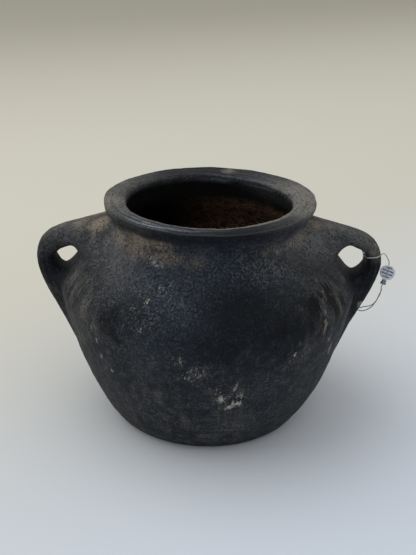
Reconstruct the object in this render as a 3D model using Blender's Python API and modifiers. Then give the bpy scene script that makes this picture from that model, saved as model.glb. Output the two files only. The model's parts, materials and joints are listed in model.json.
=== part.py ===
"""Two-handled fired clay pot with a wire and lead seal through its right handle.

Units are metres and +Z is up. The pot stands on its flat foot at the origin, with its handles along X.
"""

import math

import bmesh
import bpy
import numpy as np
from mathutils import Matrix, Vector

# Vessel: outer wall, from the foot up to the lip
FOOT_RADIUS = 0.0775
FOOT_ROUNDING = 0.0035
FLARE_OUT = 0.0255
FLARE_UP = 0.0245
BELLY_RADIUS = 0.1205
BELLY_HEIGHT = 0.1140
BELLY_PULL = 0.0090
SHOULDER_PULL = 0.0180
SHOULDER_RISE = 0.0540
NECK_RADIUS = 0.0780
NECK_PULL = 0.0140
LIP_RISE = 0.0188
LIP_OVERHANG = 0.0063
LIP_BAND = 0.0040
LIP_EDGE = 0.0012
UNDER_PULL = 0.0050
LIP_WIDTH = 0.0183
LIP_DISH = 0.0013
MOUTH_ROLL_IN = 0.0045
MOUTH_ROLL_DOWN = 0.0065

# Vessel: thickness of the clay
WALL = 0.0090
FLOOR_THICKNESS = 0.0100
FLOOR_FILLET = 0.0120

# Strap handles: the outer line's places, then the strap's section along it
RIGHT_PROJECTION = 0.0216
LEFT_PROJECTION = 0.0202
HANDLE_CROWN = 0.0205
CROWN_PULL = 0.0250
UPPER_ROOT_RISE = 0.0040
UPPER_RUN = 0.0500
UPPER_DIP = 0.0110
LOWER_ROOT_DROP = 0.0650
LOWER_STAND_OFF = 0.0030
LOWER_RUN_UP = 0.0310
ROOT_SINK = 0.0080
STRAP_WIDTH = 0.0270
UPPER_ROOT_WIDTH = 0.0440
UPPER_ROOT_DEPTH = 0.0300
LOWER_ROOT_WIDTH = 0.0420
LOWER_ROOT_DEPTH = 0.0200
LOWER_TIP = 0.0110
STRAP_SQUARENESS = 2.8
RIGHT_ARM_THICKNESS = 0.0130
RIGHT_CROWN_THICKNESS = 0.0130
LEFT_ARM_THICKNESS = 0.0172
LEFT_CROWN_THICKNESS = 0.0150
# Shares of the strap's run at which its section changes
ROOT_END, ARM_START, ARM_END, CROWN, LEG_START = 0.11, 0.21, 0.34, 0.50, 0.66
SEAT_GAP = 0.0003
CUTTER_SPARE = 0.0200

# Wire and seal: places are measured from the right strap's crown
WIRE_DIAMETER = 0.0008
WIRE_STEP = 0.0024
WIRE_BITE = 0.0026
WIRE_LEAD = 0.0026
TWIN_SPACING = 0.0013
SEAL_PLACE = (0.0051, -0.0090, -0.0078)
SEAL_NORMAL = (-0.30, -0.85, 0.43)
SEAL_RADIUS = 0.0061
SEAL_THICKNESS = 0.0040
SEAL_BORDER = 0.0011
SEAL_RECESS = 0.0004
SEAL_EDGE = 0.0006
BORE_GAP = 0.0003
FERRULE_ANGLE = math.radians(13)
FERRULE_WALL = 0.0006
FERRULE_FLARE = 0.0004
FERRULE_LENGTH = 0.0040
SWING_PLACE = (-0.0151, 0.0, 0.0067)

# Smoothness of curves and turned shapes
TURN_STEPS = 64
WALL_POINTS = 10
INNER_POINTS = 12
CORNER_POINTS = 4
STRAP_STATIONS = 26
STRAP_SIDES = 20
SEAL_STEPS = 40
BORE_STEPS = 12
WIRE_RESOLUTION = 2
ROUTE_POINTS = 12
FINE_POINTS = 200
MERGE_DISTANCE = 0.00001

# The wire between the seal's top and the ferrule, measured from the right strap's crown: it runs over the
# strap's front, through the eye and down behind the strap
WIRE_ROUTE = [
    (0.0047, -0.0062, 0.0035), (0.0021, -0.0084, 0.0075), (-0.0007, -0.0118, 0.0100),
    (-0.0031, -0.0144, 0.0095), (-0.0059, -0.0148, 0.0079), (-0.0096, -0.0147, 0.0073),
    (-0.0132, -0.0142, 0.0070), (-0.0147, -0.0117, 0.0068), (-0.0151, -0.0070, 0.0067),
    (-0.0151, 0.0000, 0.0067), (-0.0151, 0.0080, 0.0065), (-0.0143, 0.0128, 0.0055),
    (-0.0119, 0.0150, 0.0015), (-0.0109, 0.0160, -0.0065), (-0.0106, 0.0168, -0.0195),
    (-0.0121, 0.0178, -0.0335), (-0.0140, 0.0190, -0.0455), (-0.0132, 0.0187, -0.0505),
    (-0.0102, 0.0168, -0.0523), (-0.0066, 0.0140, -0.0499), (-0.0026, 0.0105, -0.0474),
    (-0.0005, 0.0065, -0.0437), (0.0008, 0.0015, -0.0378), (0.0014, -0.0040, -0.0300),
    (0.0016, -0.0098, -0.0233),
]
# The wire's free end, measured the same way: beside the wire from the ferrule down, then apart from it
TAIL_ROUTE = [
    (0.0004, -0.0126, -0.0241), (0.0003, -0.0068, -0.0311), (-0.0004, -0.0006, -0.0387),
    (-0.0022, 0.0046, -0.0455), (-0.0051, 0.0094, -0.0506), (-0.0081, 0.0134, -0.0537),
    (-0.0111, 0.0160, -0.0541), (-0.0130, 0.0176, -0.0536),
]

NECK_HEIGHT = BELLY_HEIGHT + SHOULDER_RISE
POT_HEIGHT = NECK_HEIGHT + LIP_RISE
RIM_RADIUS = NECK_RADIUS + LIP_OVERHANG
MOUTH_RADIUS = RIM_RADIUS - LIP_WIDTH
CROWN_HEIGHT = BELLY_HEIGHT + HANDLE_CROWN
RIGHT_CROWN = np.array((BELLY_RADIUS + RIGHT_PROJECTION, 0.0, CROWN_HEIGHT))
SEAL_CENTRE = Vector(RIGHT_CROWN + SEAL_PLACE)
SWING_AXIS = Vector(RIGHT_CROWN + SWING_PLACE)


def bezier(start, leave, arrive, end, count):
    """Points on a cubic curve that leaves start towards leave and comes to end from arrive."""
    t = np.linspace(0.0, 1.0, count)[:, None]
    a, b, c, d = (np.array(p, float) for p in (start, leave, arrive, end))
    return (1 - t) ** 3 * a + 3 * (1 - t) ** 2 * t * b + 3 * (1 - t) * t**2 * c + t**3 * d


def corner(start, tip, end):
    """Points that round the corner at tip, from start to end."""
    t = np.linspace(0.0, 1.0, CORNER_POINTS)[:, None]
    a, b, c = (np.array(p, float) for p in (start, tip, end))
    return (1 - t) ** 2 * a + 2 * (1 - t) * t * b + t**2 * c


def outer_wall(count):
    """Radius and height of the outer wall, foot to neck: two curves that meet upright at the belly."""
    foot, belly, neck = (FOOT_RADIUS, 0), (BELLY_RADIUS, BELLY_HEIGHT), (NECK_RADIUS, NECK_HEIGHT)
    flare = (FOOT_RADIUS + FLARE_OUT, FLARE_UP)
    lower = bezier(foot, flare, (BELLY_RADIUS, BELLY_HEIGHT - BELLY_PULL), belly, count)
    shoulder = (BELLY_RADIUS, BELLY_HEIGHT + SHOULDER_PULL)
    upper = bezier(belly, shoulder, (NECK_RADIUS, NECK_HEIGHT - NECK_PULL), neck, count)
    return np.concatenate([lower, upper[1:]])


def wall_radius(height):
    """Radius of the outer wall at a height between the foot and the neck."""
    fine = outer_wall(FINE_POINTS)
    return np.interp(height, fine[:, 1], fine[:, 0])


def lip(offset=0.0):
    """Radius and height of the lip's outside, from its top edge down to the neck."""
    outer = RIM_RADIUS + offset
    top = corner((outer - LIP_EDGE, POT_HEIGHT), (outer, POT_HEIGHT), (outer, POT_HEIGHT - LIP_EDGE))
    under = bezier(
        (outer, POT_HEIGHT - LIP_BAND),
        (outer, POT_HEIGHT - LIP_BAND - UNDER_PULL),
        (NECK_RADIUS + offset, NECK_HEIGHT + UNDER_PULL),
        (NECK_RADIUS + offset, NECK_HEIGHT),
        CORNER_POINTS + 1,
    )
    return np.concatenate([top, under])


def outside(offset=0.0):
    """The vessel's whole outer profile, lip to foot, moved out by offset."""
    wall = outer_wall(WALL_POINTS)[::-1]
    wall = wall[wall[:, 1] > FOOT_ROUNDING]
    start = (wall_radius(FOOT_ROUNDING) + offset, FOOT_ROUNDING)
    foot = corner(start, (FOOT_RADIUS + offset, 0.0), (FOOT_RADIUS - FOOT_ROUNDING + offset, 0.0))
    return np.concatenate([lip(offset), wall[1:] + (offset, 0.0), foot])


def inside():
    """The vessel's inner profile, from the floor's centre up to the lip's top."""
    seat = FLOOR_THICKNESS + FLOOR_FILLET
    base = wall_radius(FLOOR_THICKNESS) - WALL
    bend = (base - FLOOR_FILLET, FLOOR_THICKNESS), (base, FLOOR_THICKNESS), (wall_radius(seat) - WALL, seat)
    heights = np.linspace(seat, NECK_HEIGHT, INNER_POINTS)
    wall = np.stack([wall_radius(heights) - WALL, heights], axis=1)
    edge = POT_HEIGHT - LIP_DISH
    roll = (MOUTH_RADIUS, edge - MOUTH_ROLL_DOWN), (MOUTH_RADIUS, edge), (MOUTH_RADIUS + MOUTH_ROLL_IN, edge)
    return np.concatenate([[(0.0, FLOOR_THICKNESS)], corner(*bend), wall[1:], corner(*roll)])


def new_object(name, data, collection, material=None):
    item = bpy.data.objects.new(name, data)
    collection.objects.link(item)
    if material:
        item.data.materials.append(material)
    return item


def turned(name, profile, steps, collection, material=None, closed=False):
    """A profile of radius and height, swept once round the Z axis."""
    count = len(profile)
    edges = [(i, i + 1) for i in range(count - 1)]
    if closed:
        edges.append((count - 1, 0))
    mesh = bpy.data.meshes.new(name)
    mesh.from_pydata([(r, 0.0, z) for r, z in profile], edges, [])
    item = new_object(name, mesh, collection, material)
    screw = item.modifiers.new("turn", "SCREW")
    screw.steps = screw.render_steps = steps
    screw.use_merge_vertices = True
    screw.merge_threshold = MERGE_DISTANCE
    screw.use_smooth_shade = True
    return item


def as_cutter(item):
    item.hide_render = True
    item.display_type = "WIRE"
    return item


def cut(item, cutter):
    boolean = item.modifiers.new(cutter.name, "BOOLEAN")
    boolean.operation = "DIFFERENCE"
    boolean.object = cutter


def pot_material(name, colour, roughness, metallic=0.0):
    material = bpy.data.materials.new(name)
    material.use_nodes = True
    shader = material.node_tree.nodes["Principled BSDF"]
    shader.inputs["Base Color"].default_value = (*colour, 1.0)
    shader.inputs["Roughness"].default_value = roughness
    shader.inputs["Metallic"].default_value = metallic
    return material


def eased(position, knots, values):
    """Values at the knots, eased from each to the next."""
    knots, values = np.array(knots), np.array(values)
    i = np.clip(np.searchsorted(knots, position, side="right") - 1, 0, len(knots) - 2)
    t = (position - knots[i]) / (knots[i + 1] - knots[i])
    return values[i] + (values[i + 1] - values[i]) * t * t * (3 - 2 * t)


def strap_line(projection, arm_thickness, crown_thickness):
    """The strap's outer line in X and Z, upper root to lower root, with its thickness and width there."""
    root_height, low_height = NECK_HEIGHT + UPPER_ROOT_RISE, BELLY_HEIGHT - LOWER_ROOT_DROP
    upper = np.array((wall_radius(root_height) - ROOT_SINK, root_height))
    crown = np.array((BELLY_RADIUS + projection, CROWN_HEIGHT))
    lower = np.array((wall_radius(low_height), low_height))
    pull = np.array((0.0, CROWN_PULL))
    arm = bezier(upper, upper + (UPPER_RUN, -UPPER_DIP), crown + pull, crown, STRAP_STATIONS)
    leg_height = low_height + LOWER_RUN_UP
    along_wall = np.array((wall_radius(leg_height) + LOWER_STAND_OFF, leg_height))
    leg = bezier(crown, crown - pull, along_wall, lower, STRAP_STATIONS)
    line = np.concatenate([arm, leg[1:]])
    run = np.linspace(0.0, 1.0, len(line))
    places = (0.0, ROOT_END, ARM_START, ARM_END, CROWN, LEG_START, 1.0)
    arm_depths = (UPPER_ROOT_DEPTH, UPPER_ROOT_DEPTH, arm_thickness, arm_thickness)
    thickness = eased(run, places, (*arm_depths, crown_thickness, LOWER_ROOT_DEPTH, LOWER_TIP))
    widths = (UPPER_ROOT_WIDTH, UPPER_ROOT_WIDTH, STRAP_WIDTH, STRAP_WIDTH, LOWER_ROOT_WIDTH)
    width = eased(run, (0.0, ROOT_END / 2, ARM_START, LEG_START, 1.0), widths)
    return line, thickness, width


def strap_handle(name, side, sizes, wall_cutter, collection, material):
    """A pulled strap: rounded sections carried along its line, with both roots cut to the vessel's wall."""
    line, thickness, width = strap_line(*sizes)
    tangent = np.gradient(line, axis=0)
    tangent /= np.linalg.norm(tangent, axis=1)[:, None]
    normal = np.stack([-tangent[:, 1], tangent[:, 0]], axis=1)
    turn = np.linspace(0, 2 * math.pi, STRAP_SIDES, endpoint=False)
    power = 2 / STRAP_SQUARENESS
    through = np.sign(np.cos(turn)) * np.abs(np.cos(turn)) ** power
    across = np.sign(np.sin(turn)) * np.abs(np.sin(turn)) ** power
    mesh = bpy.data.meshes.new(name)
    shape = bmesh.new()
    rings = []
    for at, direction, thick, wide in zip(line, normal, thickness, width):
        flat = at + np.outer(through - 1, direction) * thick / 2
        rings.append([shape.verts.new((side * x, y, z)) for (x, z), y in zip(flat, across * wide / 2)])
    for ring, after in zip(rings, rings[1:]):
        for i in range(STRAP_SIDES):
            j = (i + 1) % STRAP_SIDES
            shape.faces.new((ring[i], ring[j], after[j], after[i]))
    shape.faces.new(rings[0])
    shape.faces.new(rings[-1])
    bmesh.ops.recalc_face_normals(shape, faces=shape.faces)
    shape.to_mesh(mesh)
    shape.free()
    mesh.shade_smooth()
    item = new_object(name, mesh, collection, material)
    cut(item, wall_cutter)
    return item


def spread_route(points):
    """Evenly spaced points on a smooth curve through the route's points."""
    p = np.array(points, float)
    padded = np.concatenate([[2 * p[0] - p[1]], p, [2 * p[-1] - p[-2]]])
    before, start, end, after = (padded[i : len(padded) - 3 + i, None] for i in range(4))
    t = np.linspace(0, 1, ROUTE_POINTS, endpoint=False)[None, :, None]
    bend = 2 * before - 5 * start + 4 * end - after
    twist = 3 * (start - end) + after - before
    line = start + (t * (end - before) + t**2 * bend + t**3 * twist) / 2
    line = np.concatenate([line.reshape(-1, 3), p[-1:]])
    along = np.concatenate([[0], np.cumsum(np.linalg.norm(np.diff(line, axis=0), axis=1))])
    at = np.linspace(0, along[-1], math.ceil(along[-1] / WIRE_STEP) + 1)
    return np.stack([np.interp(at, along, line[:, i]) for i in range(3)], axis=1)


def wire(name, route, pivot, collection, material):
    """A round wire along a route, placed from the tag's pivot."""
    points = spread_route(route) - SWING_AXIS
    curve = bpy.data.curves.new(name, "CURVE")
    curve.dimensions = "3D"
    curve.bevel_depth = WIRE_DIAMETER / 2
    curve.bevel_resolution = WIRE_RESOLUTION
    curve.use_fill_caps = True
    spline = curve.splines.new("POLY")
    spline.points.add(len(points) - 1)
    for point, at in zip(spline.points, points):
        point.co = (*at, 1.0)
    item = new_object(name, curve, collection, material)
    item.parent = pivot
    return item


def seal_frame():
    """The seal's right, up and facing directions, with up as near to the vertical as its face allows."""
    face = Vector(SEAL_NORMAL).normalized()
    up = (Vector((0, 0, 1)) - face * face.z).normalized()
    return up.cross(face), up, face


def place(item, pivot, centre, right, up, face):
    """Stands an item made round its own Z axis at centre, with Z along face."""
    turn = Matrix((right, up, face)).transposed()
    item.parent = pivot
    item.location = centre - SWING_AXIS
    item.rotation_euler = turn.to_euler()


def bore_cutter(name, start, end, radius, collection):
    """A round cutter that runs from start to end."""
    mesh = bpy.data.meshes.new(name)
    shape = bmesh.new()
    sizes = {"segments": BORE_STEPS, "radius1": radius, "radius2": radius, "depth": (end - start).length}
    bmesh.ops.create_cone(shape, cap_ends=True, **sizes)
    shape.to_mesh(mesh)
    shape.free()
    item = as_cutter(new_object(name, mesh, collection))
    item.location = (start + end) / 2
    item.rotation_euler = (end - start).to_track_quat("Z", "Y").to_euler()
    return item


def lead_seal(centre, frame, channels, pivot, collection, cutters, material):
    """A pressed disc with a raised border on both faces, and a channel for each end of the wire."""
    half, border = SEAL_THICKNESS / 2, SEAL_RADIUS - SEAL_BORDER
    top = corner((SEAL_RADIUS - SEAL_EDGE, half), (SEAL_RADIUS, half), (SEAL_RADIUS, half - SEAL_EDGE))
    face = [(0.0, half - SEAL_RECESS), (border - SEAL_RECESS, half - SEAL_RECESS), (border, half)]
    upper = np.concatenate([face, top])
    profile = np.concatenate([upper, upper[::-1] * (1, -1)])
    item = turned("lead_seal", profile, SEAL_STEPS, collection, material)
    place(item, pivot, centre, *frame)
    for index, (inner, outer) in enumerate(channels):
        radius = WIRE_DIAMETER / 2 + BORE_GAP
        cut(item, bore_cutter(f"seal_channel_{index}", inner, outer, radius, cutters))
    return item


def wire_ferrule(centre, direction, pivot, collection, material):
    """A crimped sleeve round both wires, a little wider at its far end."""
    bore = (TWIN_SPACING + WIRE_DIAMETER) / 2 + BORE_GAP
    outer, half = bore + FERRULE_WALL, FERRULE_LENGTH / 2
    flared = outer + FERRULE_FLARE
    profile = [(flared, half), (flared, half / 2), (outer, 0), (outer, -half), (bore, -half), (bore, half)]
    item = turned("wire_ferrule", profile, SEAL_STEPS // 2, collection, material, closed=True)
    right = direction.orthogonal().normalized()
    place(item, pivot, centre, right, direction.cross(right), direction)
    return item


def new_collection(name):
    collection = bpy.data.collections.new(name)
    bpy.context.scene.collection.children.link(collection)
    return collection


def main():
    for item in list(bpy.data.objects):
        bpy.data.objects.remove(item, do_unlink=True)
    pot = new_collection("ceramic_pot")
    cutters = new_collection("cutters")

    burnished = pot_material("burnished_clay", (0.045, 0.047, 0.052), 0.62)
    left_clay = pot_material("left_strap_clay", (0.055, 0.050, 0.047), 0.66)
    right_clay = pot_material("right_strap_clay", (0.050, 0.049, 0.050), 0.66)
    steel = pot_material("wire_steel", (0.42, 0.42, 0.43), 0.38, 1.0)
    tail_steel = pot_material("tail_steel", (0.40, 0.40, 0.41), 0.40, 1.0)
    lead = pot_material("seal_lead", (0.36, 0.37, 0.38), 0.55, 0.8)
    crimp = pot_material("ferrule_lead", (0.24, 0.25, 0.26), 0.58, 0.8)

    turned("pot_body", np.concatenate([inside(), outside(), [(0.0, 0.0)]]), TURN_STEPS, pot, burnished)
    over, under = POT_HEIGHT + CUTTER_SPARE, -CUTTER_SPARE
    shell = outside(SEAT_GAP)
    rim, foot = shell[0][0], shell[-1][0]
    stock = np.concatenate([[(0.0, over), (rim, over)], shell, [(foot, under), (0.0, under)]])
    wall_cutter = as_cutter(turned("wall_cutter", stock, TURN_STEPS, cutters))
    left_sizes = (LEFT_PROJECTION, LEFT_ARM_THICKNESS, LEFT_CROWN_THICKNESS)
    right_sizes = (RIGHT_PROJECTION, RIGHT_ARM_THICKNESS, RIGHT_CROWN_THICKNESS)
    strap_handle("left_handle", -1, left_sizes, wall_cutter, pot, left_clay)
    strap_handle("right_handle", 1, right_sizes, wall_cutter, pot, right_clay)

    pivot = new_object("seal_swing_axis", None, pot)
    pivot.location = SWING_AXIS
    centre = SEAL_CENTRE
    right, up, face = seal_frame()
    low = -up * math.cos(FERRULE_ANGLE) - right * math.sin(FERRULE_ANGLE)
    sleeve = SEAL_RADIUS + SEAT_GAP + FERRULE_LENGTH
    beside = face * TWIN_SPACING
    top_end = [centre + up * far for far in (SEAL_RADIUS - WIRE_BITE, SEAL_RADIUS, SEAL_RADIUS + WIRE_LEAD)]
    low_end = [centre + low * far for far in (sleeve + WIRE_LEAD, sleeve, SEAL_RADIUS - WIRE_BITE)]
    loop, free = RIGHT_CROWN + WIRE_ROUTE, RIGHT_CROWN + TAIL_ROUTE
    wire("seal_wire", [*top_end, *loop, *low_end], pivot, pot, steel)
    twin = [centre + low * far + beside for far in (sleeve - FERRULE_LENGTH / 2, sleeve, sleeve + WIRE_LEAD)]
    wire("wire_tail", [*twin, *free], pivot, pot, tail_steel)
    reach = SEAL_RADIUS + WIRE_LEAD
    deep = SEAL_RADIUS - WIRE_BITE - BORE_GAP
    channels = [(centre + way * deep, centre + way * reach) for way in (up, low)]
    lead_seal(centre, (right, up, face), channels, pivot, pot, cutters, lead)
    wire_ferrule(centre + low * (sleeve - FERRULE_LENGTH / 2) + beside / 2, low, pivot, pot, crimp)


main()
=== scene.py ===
# %% [markdown]
# # A smoke-blackened clay pot with a wire seal
# The real pot was built up from soft clay, scraped smooth, given two pulled strap handles and fired in a
# smoky flame, so it came out charcoal black with tan dust, soot, chips and a little mineral crust.
# A wire with a pressed lead seal hangs through one handle.
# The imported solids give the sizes. This lesson makes the surfaces that show: each is a function of two
# parameters, worked out with whole numpy arrays, and then one procedural finish covers all the clay.

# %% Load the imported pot
import json
import math

import bpy
import numpy as np
from mathutils import Matrix, Vector


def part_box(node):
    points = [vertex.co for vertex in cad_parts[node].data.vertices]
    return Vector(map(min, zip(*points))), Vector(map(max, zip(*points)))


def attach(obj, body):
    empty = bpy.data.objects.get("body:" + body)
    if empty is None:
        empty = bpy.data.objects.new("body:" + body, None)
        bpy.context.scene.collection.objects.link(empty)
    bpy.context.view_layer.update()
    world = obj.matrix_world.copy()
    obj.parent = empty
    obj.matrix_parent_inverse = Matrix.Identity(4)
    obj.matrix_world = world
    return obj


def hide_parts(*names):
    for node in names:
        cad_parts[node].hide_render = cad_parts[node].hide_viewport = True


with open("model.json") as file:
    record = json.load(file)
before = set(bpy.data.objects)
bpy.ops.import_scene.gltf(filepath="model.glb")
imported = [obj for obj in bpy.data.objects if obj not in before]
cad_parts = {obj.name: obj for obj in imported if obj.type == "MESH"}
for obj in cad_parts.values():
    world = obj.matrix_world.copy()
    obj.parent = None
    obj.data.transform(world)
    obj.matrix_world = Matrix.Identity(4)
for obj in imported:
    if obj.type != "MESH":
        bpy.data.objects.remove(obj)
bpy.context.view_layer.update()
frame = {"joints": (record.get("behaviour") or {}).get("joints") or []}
scene = bpy.context.scene

# %% [markdown]
# ## The camera
# The pot was seen from the front and a little above, from about 0.7 m away, with a phone's long lens.
# The lens comes from the focal length in pixels, because Blender's sensor width lies along the longer side
# of the picture. A turn about the viewing line gives the slight lean of the picture.

# %% Place the camera
PHOTO_HEIGHT = 555
FOCAL_PIXELS = 833.3
SENSOR_MM = 36.0
CAMERA_PLACE = (0.0, -0.6386, 0.3935)
CAMERA_PITCH = math.radians(23.53)
CAMERA_ROLL = math.radians(1.05)

camera = bpy.data.objects.new("camera", bpy.data.cameras.new("camera"))
scene.collection.objects.link(camera)
camera.data.sensor_width = SENSOR_MM
camera.data.lens = SENSOR_MM * FOCAL_PIXELS / PHOTO_HEIGHT
tilt = Matrix.Rotation(math.pi / 2 - CAMERA_PITCH, 4, "X") @ Matrix.Rotation(CAMERA_ROLL, 4, "Z")
camera.matrix_world = Matrix.Translation(CAMERA_PLACE) @ tilt
scene.camera = camera
print("lens", round(camera.data.lens, 2), "mm")

# %% [markdown]
# ## The seal's wire
# A thin steel wire leaves the top of the lead seal, passes over the strap, goes through the handle's eye and
# hangs down behind the strap, then climbs back to the ferrule under the seal. Its free end leaves the
# ferrule beside it. Both are drawn as a smooth curve through a few listed points, given in tenths of a
# millimetre from the strap's crown.

# %% Plan the wires
SWING_PLACE = np.array((-0.0151, 0.0, 0.0067))
WIRE_DIAMETER = 0.0008
WIRE_BITE = 0.0026
WIRE_LEAD = 0.0026
TWIN_SPACING = 0.0013
SEAT_GAP = 0.0003
SEAL_PLACE = np.array((0.0051, -0.0090, -0.0078))
SEAL_NORMAL = np.array((-0.30, -0.85, 0.43))
SEAL_RADIUS = 0.0061
FERRULE_ANGLE = math.radians(13)
FERRULE_LENGTH = 0.0040
TENTH_MM = 0.0001
WIRE_ROUTE = TENTH_MM * np.array([
    (47, -62, 35), (21, -84, 75), (-7, -118, 100), (-31, -144, 95), (-59, -148, 79), (-96, -147, 73),
    (-132, -142, 70), (-147, -117, 68), (-151, -70, 67), (-151, 0, 67), (-151, 80, 65), (-143, 128, 55),
    (-119, 150, 15), (-109, 160, -65), (-106, 168, -195), (-121, 178, -335), (-140, 190, -455),
    (-132, 187, -505), (-102, 168, -523), (-66, 140, -499), (-26, 105, -474), (-5, 65, -437),
    (8, 15, -378), (14, -40, -300), (16, -98, -233),
])
TAIL_ROUTE = TENTH_MM * np.array([
    (4, -126, -241), (3, -68, -311), (-4, -6, -387), (-22, 46, -455), (-51, 94, -506), (-81, 134, -537),
    (-111, 160, -541), (-130, 176, -536),
])


def unit(vectors):
    """Vectors brought to length 1."""
    return vectors / np.linalg.norm(vectors, axis=-1, keepdims=True)


crown = np.array(frame["joints"][0]["pos_m"]) - SWING_PLACE
seal_centre = crown + SEAL_PLACE
seal_face = unit(SEAL_NORMAL)
seal_up = unit(np.array((0, 0, 1)) - seal_face * seal_face[2])
seal_right = np.cross(seal_up, seal_face)
ferrule_way = -seal_up * math.cos(FERRULE_ANGLE) - seal_right * math.sin(FERRULE_ANGLE)
print("the seal hangs at", seal_centre.round(4), "metres")

# %% [markdown]
# ### Drawing the wires
# A smooth curve passes through every listed point. It is walked off in equal steps and given a round section.
# The wire bites into the seal at the top and again under the ferrule. The free end lies beside it there.

# %% Lay the wires
WIRE_STEP = 0.0008
ROUTE_POINTS = 12
WIRE_SIDES = 3


def walked(line):
    """How far along a line each of its points lies."""
    return np.concatenate([[0], np.cumsum(np.linalg.norm(np.diff(line, axis=0), axis=1))])


def picked(line, along, at):
    """The places on a line that lie at given distances along it."""
    return np.stack([np.interp(at, along, column) for column in line.T], axis=1)


def smooth_route(points):
    """Evenly spaced points on a Catmull-Rom curve: each span leaves and reaches its ends along the line
    between their neighbours, and the whole is then walked off in equal steps."""
    p = np.array(points, float)
    padded = np.concatenate([[2 * p[0] - p[1]], p, [2 * p[-1] - p[-2]]])
    before, start, end, after = (padded[i : len(padded) - 3 + i, None] for i in range(4))
    t = np.linspace(0, 1, ROUTE_POINTS, endpoint=False)[None, :, None]
    bend = 2 * before - 5 * start + 4 * end - after
    twist = 3 * (start - end) + after - before
    line = start + (t * (end - before) + t**2 * bend + t**3 * twist) / 2
    line = np.concatenate([line.reshape(-1, 3), p[-1:]])
    along = walked(line)
    at = np.linspace(0, along[-1], math.ceil(along[-1] / WIRE_STEP) + 1)
    return picked(line, along, at), along[-1]


def wire(name, route):
    """A round wire: one open poly curve along the route, with a bevel of half the wire's diameter."""
    points, length = smooth_route(route)
    curve = bpy.data.curves.new(name, "CURVE")
    curve.dimensions = "3D"
    curve.bevel_depth = WIRE_DIAMETER / 2
    curve.bevel_resolution = WIRE_SIDES
    curve.use_fill_caps = True
    spline = curve.splines.new("POLY")
    spline.points.add(len(points) - 1)
    spline.points.foreach_set("co", np.insert(points, 3, 1.0, axis=1).ravel())
    piece = bpy.data.objects.new(name, curve)
    scene.collection.objects.link(piece)
    print(name, "is", round(length * 1000, 1), "mm long")
    return piece, length


def from_seal(way, *distances):
    """Places at given distances from the seal's middle, all on one way out of it."""
    return [seal_centre + way * far for far in distances]


sleeve_end = SEAL_RADIUS + SEAT_GAP + FERRULE_LENGTH
bitten = SEAL_RADIUS - WIRE_BITE
top_end = from_seal(seal_up, bitten, SEAL_RADIUS, SEAL_RADIUS + WIRE_LEAD)
low_end = from_seal(ferrule_way, sleeve_end + WIRE_LEAD, sleeve_end, bitten)
twin = from_seal(ferrule_way, sleeve_end - FERRULE_LENGTH / 2, sleeve_end, sleeve_end + WIRE_LEAD)
twin = [place + seal_face * TWIN_SPACING for place in twin]
loop_wire, loop_length = wire("steel_loop", [*top_end, *(crown + WIRE_ROUTE), *low_end])
tail_wire, tail_length = wire("steel_tail", [*twin, *(crown + TAIL_ROUTE)])

# %% [markdown]
# ## Helpers for surfaces
# Every solid form below is a stack of rings. A ring is one row of points round the form, so a form is an
# array of rows by columns. Closing the columns makes a tube, and shrinking the first and last row to a
# point closes its ends. The signed volume says whether the faces point outwards, and turns them if not.

# %% Turn rings of points into a mesh


def on_skin(values):
    """Values given for rings, in the order of a skin's vertices: the rows between, then the two poles."""
    poles = [values[0].mean(axis=0), values[-1].mean(axis=0)]
    return np.concatenate([values[1:-1].reshape(-1, *values.shape[2:]), poles])


def skin(name, rings, ends="poles"):
    """A closed mesh over rings[rows, columns, 3]. With ends "poles" the first and last rows shrink to their
    middle points. With ends "joined" the last row meets the first, as on a tube bent into a ring."""
    columns = rings.shape[1]
    points = on_skin(rings) if ends == "poles" else rings.reshape(-1, 3)
    index = np.arange(len(points) // columns * columns).reshape(-1, columns)
    lower, upper = (index[:-1], index[1:]) if ends == "poles" else (index, np.roll(index, -1, axis=0))
    quads = np.stack([lower, np.roll(lower, -1, 1), np.roll(upper, -1, 1), upper], axis=-1)
    faces = quads.reshape(-1, 4).tolist()
    if ends == "poles":
        first, last = (np.full(columns, len(points) - back) for back in (2, 1))
        near, far = index[0], index[-1]
        faces += np.stack([first, np.roll(near, -1), near], axis=1).tolist()
        faces += np.stack([last, far, np.roll(far, -1)], axis=1).tolist()
    mesh = bpy.data.meshes.new(name)
    mesh.from_pydata(points.tolist(), [], faces)
    mesh.calc_loop_triangles()
    triangles = np.empty(len(mesh.loop_triangles) * 3, np.int32)
    mesh.loop_triangles.foreach_get("vertices", triangles)
    a, b, c = (points[triangles.reshape(-1, 3)[:, i]] for i in range(3))
    volume = np.einsum("ij,ij->", a, np.cross(b, c)) / 6
    if volume < 0:
        mesh.flip_normals()
    mesh.shade_smooth()
    piece = bpy.data.objects.new(name, mesh)
    scene.collection.objects.link(piece)
    print(name, len(triangles) // 3, "triangles,", round(abs(volume) * 1e6, 2), "cubic centimetres")
    return piece


def places(piece):
    """The piece's vertices as one array of points."""
    flat = np.empty(len(piece.data.vertices) * 3, np.float32)
    piece.data.vertices.foreach_get("co", flat)
    return flat.reshape(-1, 3).astype(float)


def paint(piece, name, values):
    """Keeps one number or one vector per vertex on the piece under a name, for its finish to read."""
    values = np.asarray(values, np.float32)
    kind, key = ("FLOAT", "value") if values.ndim == 1 else ("FLOAT_VECTOR", "vector")
    piece.data.attributes.new(name, kind, "POINT").data.foreach_set(key, values.ravel())


# %% [markdown]
# ### Smooth noise
# Hand-made things are uneven in a soft way. Random values on the corners of a lattice, blended smoothly
# between them, give that. Each value comes from its corner's own numbers, so every run gives the same.

# %% Make smooth noise
HASH_PRIMES = np.array((73856093, 19349663, 83492791))
SEED_PRIME = 2654435761
HASH_ROUNDS = ((13, 1274126177), (16, 2246822519))
HASH_MASK = 0xFFFFFFFF
HASH_HALF = 0x7FFFFFFF


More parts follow.
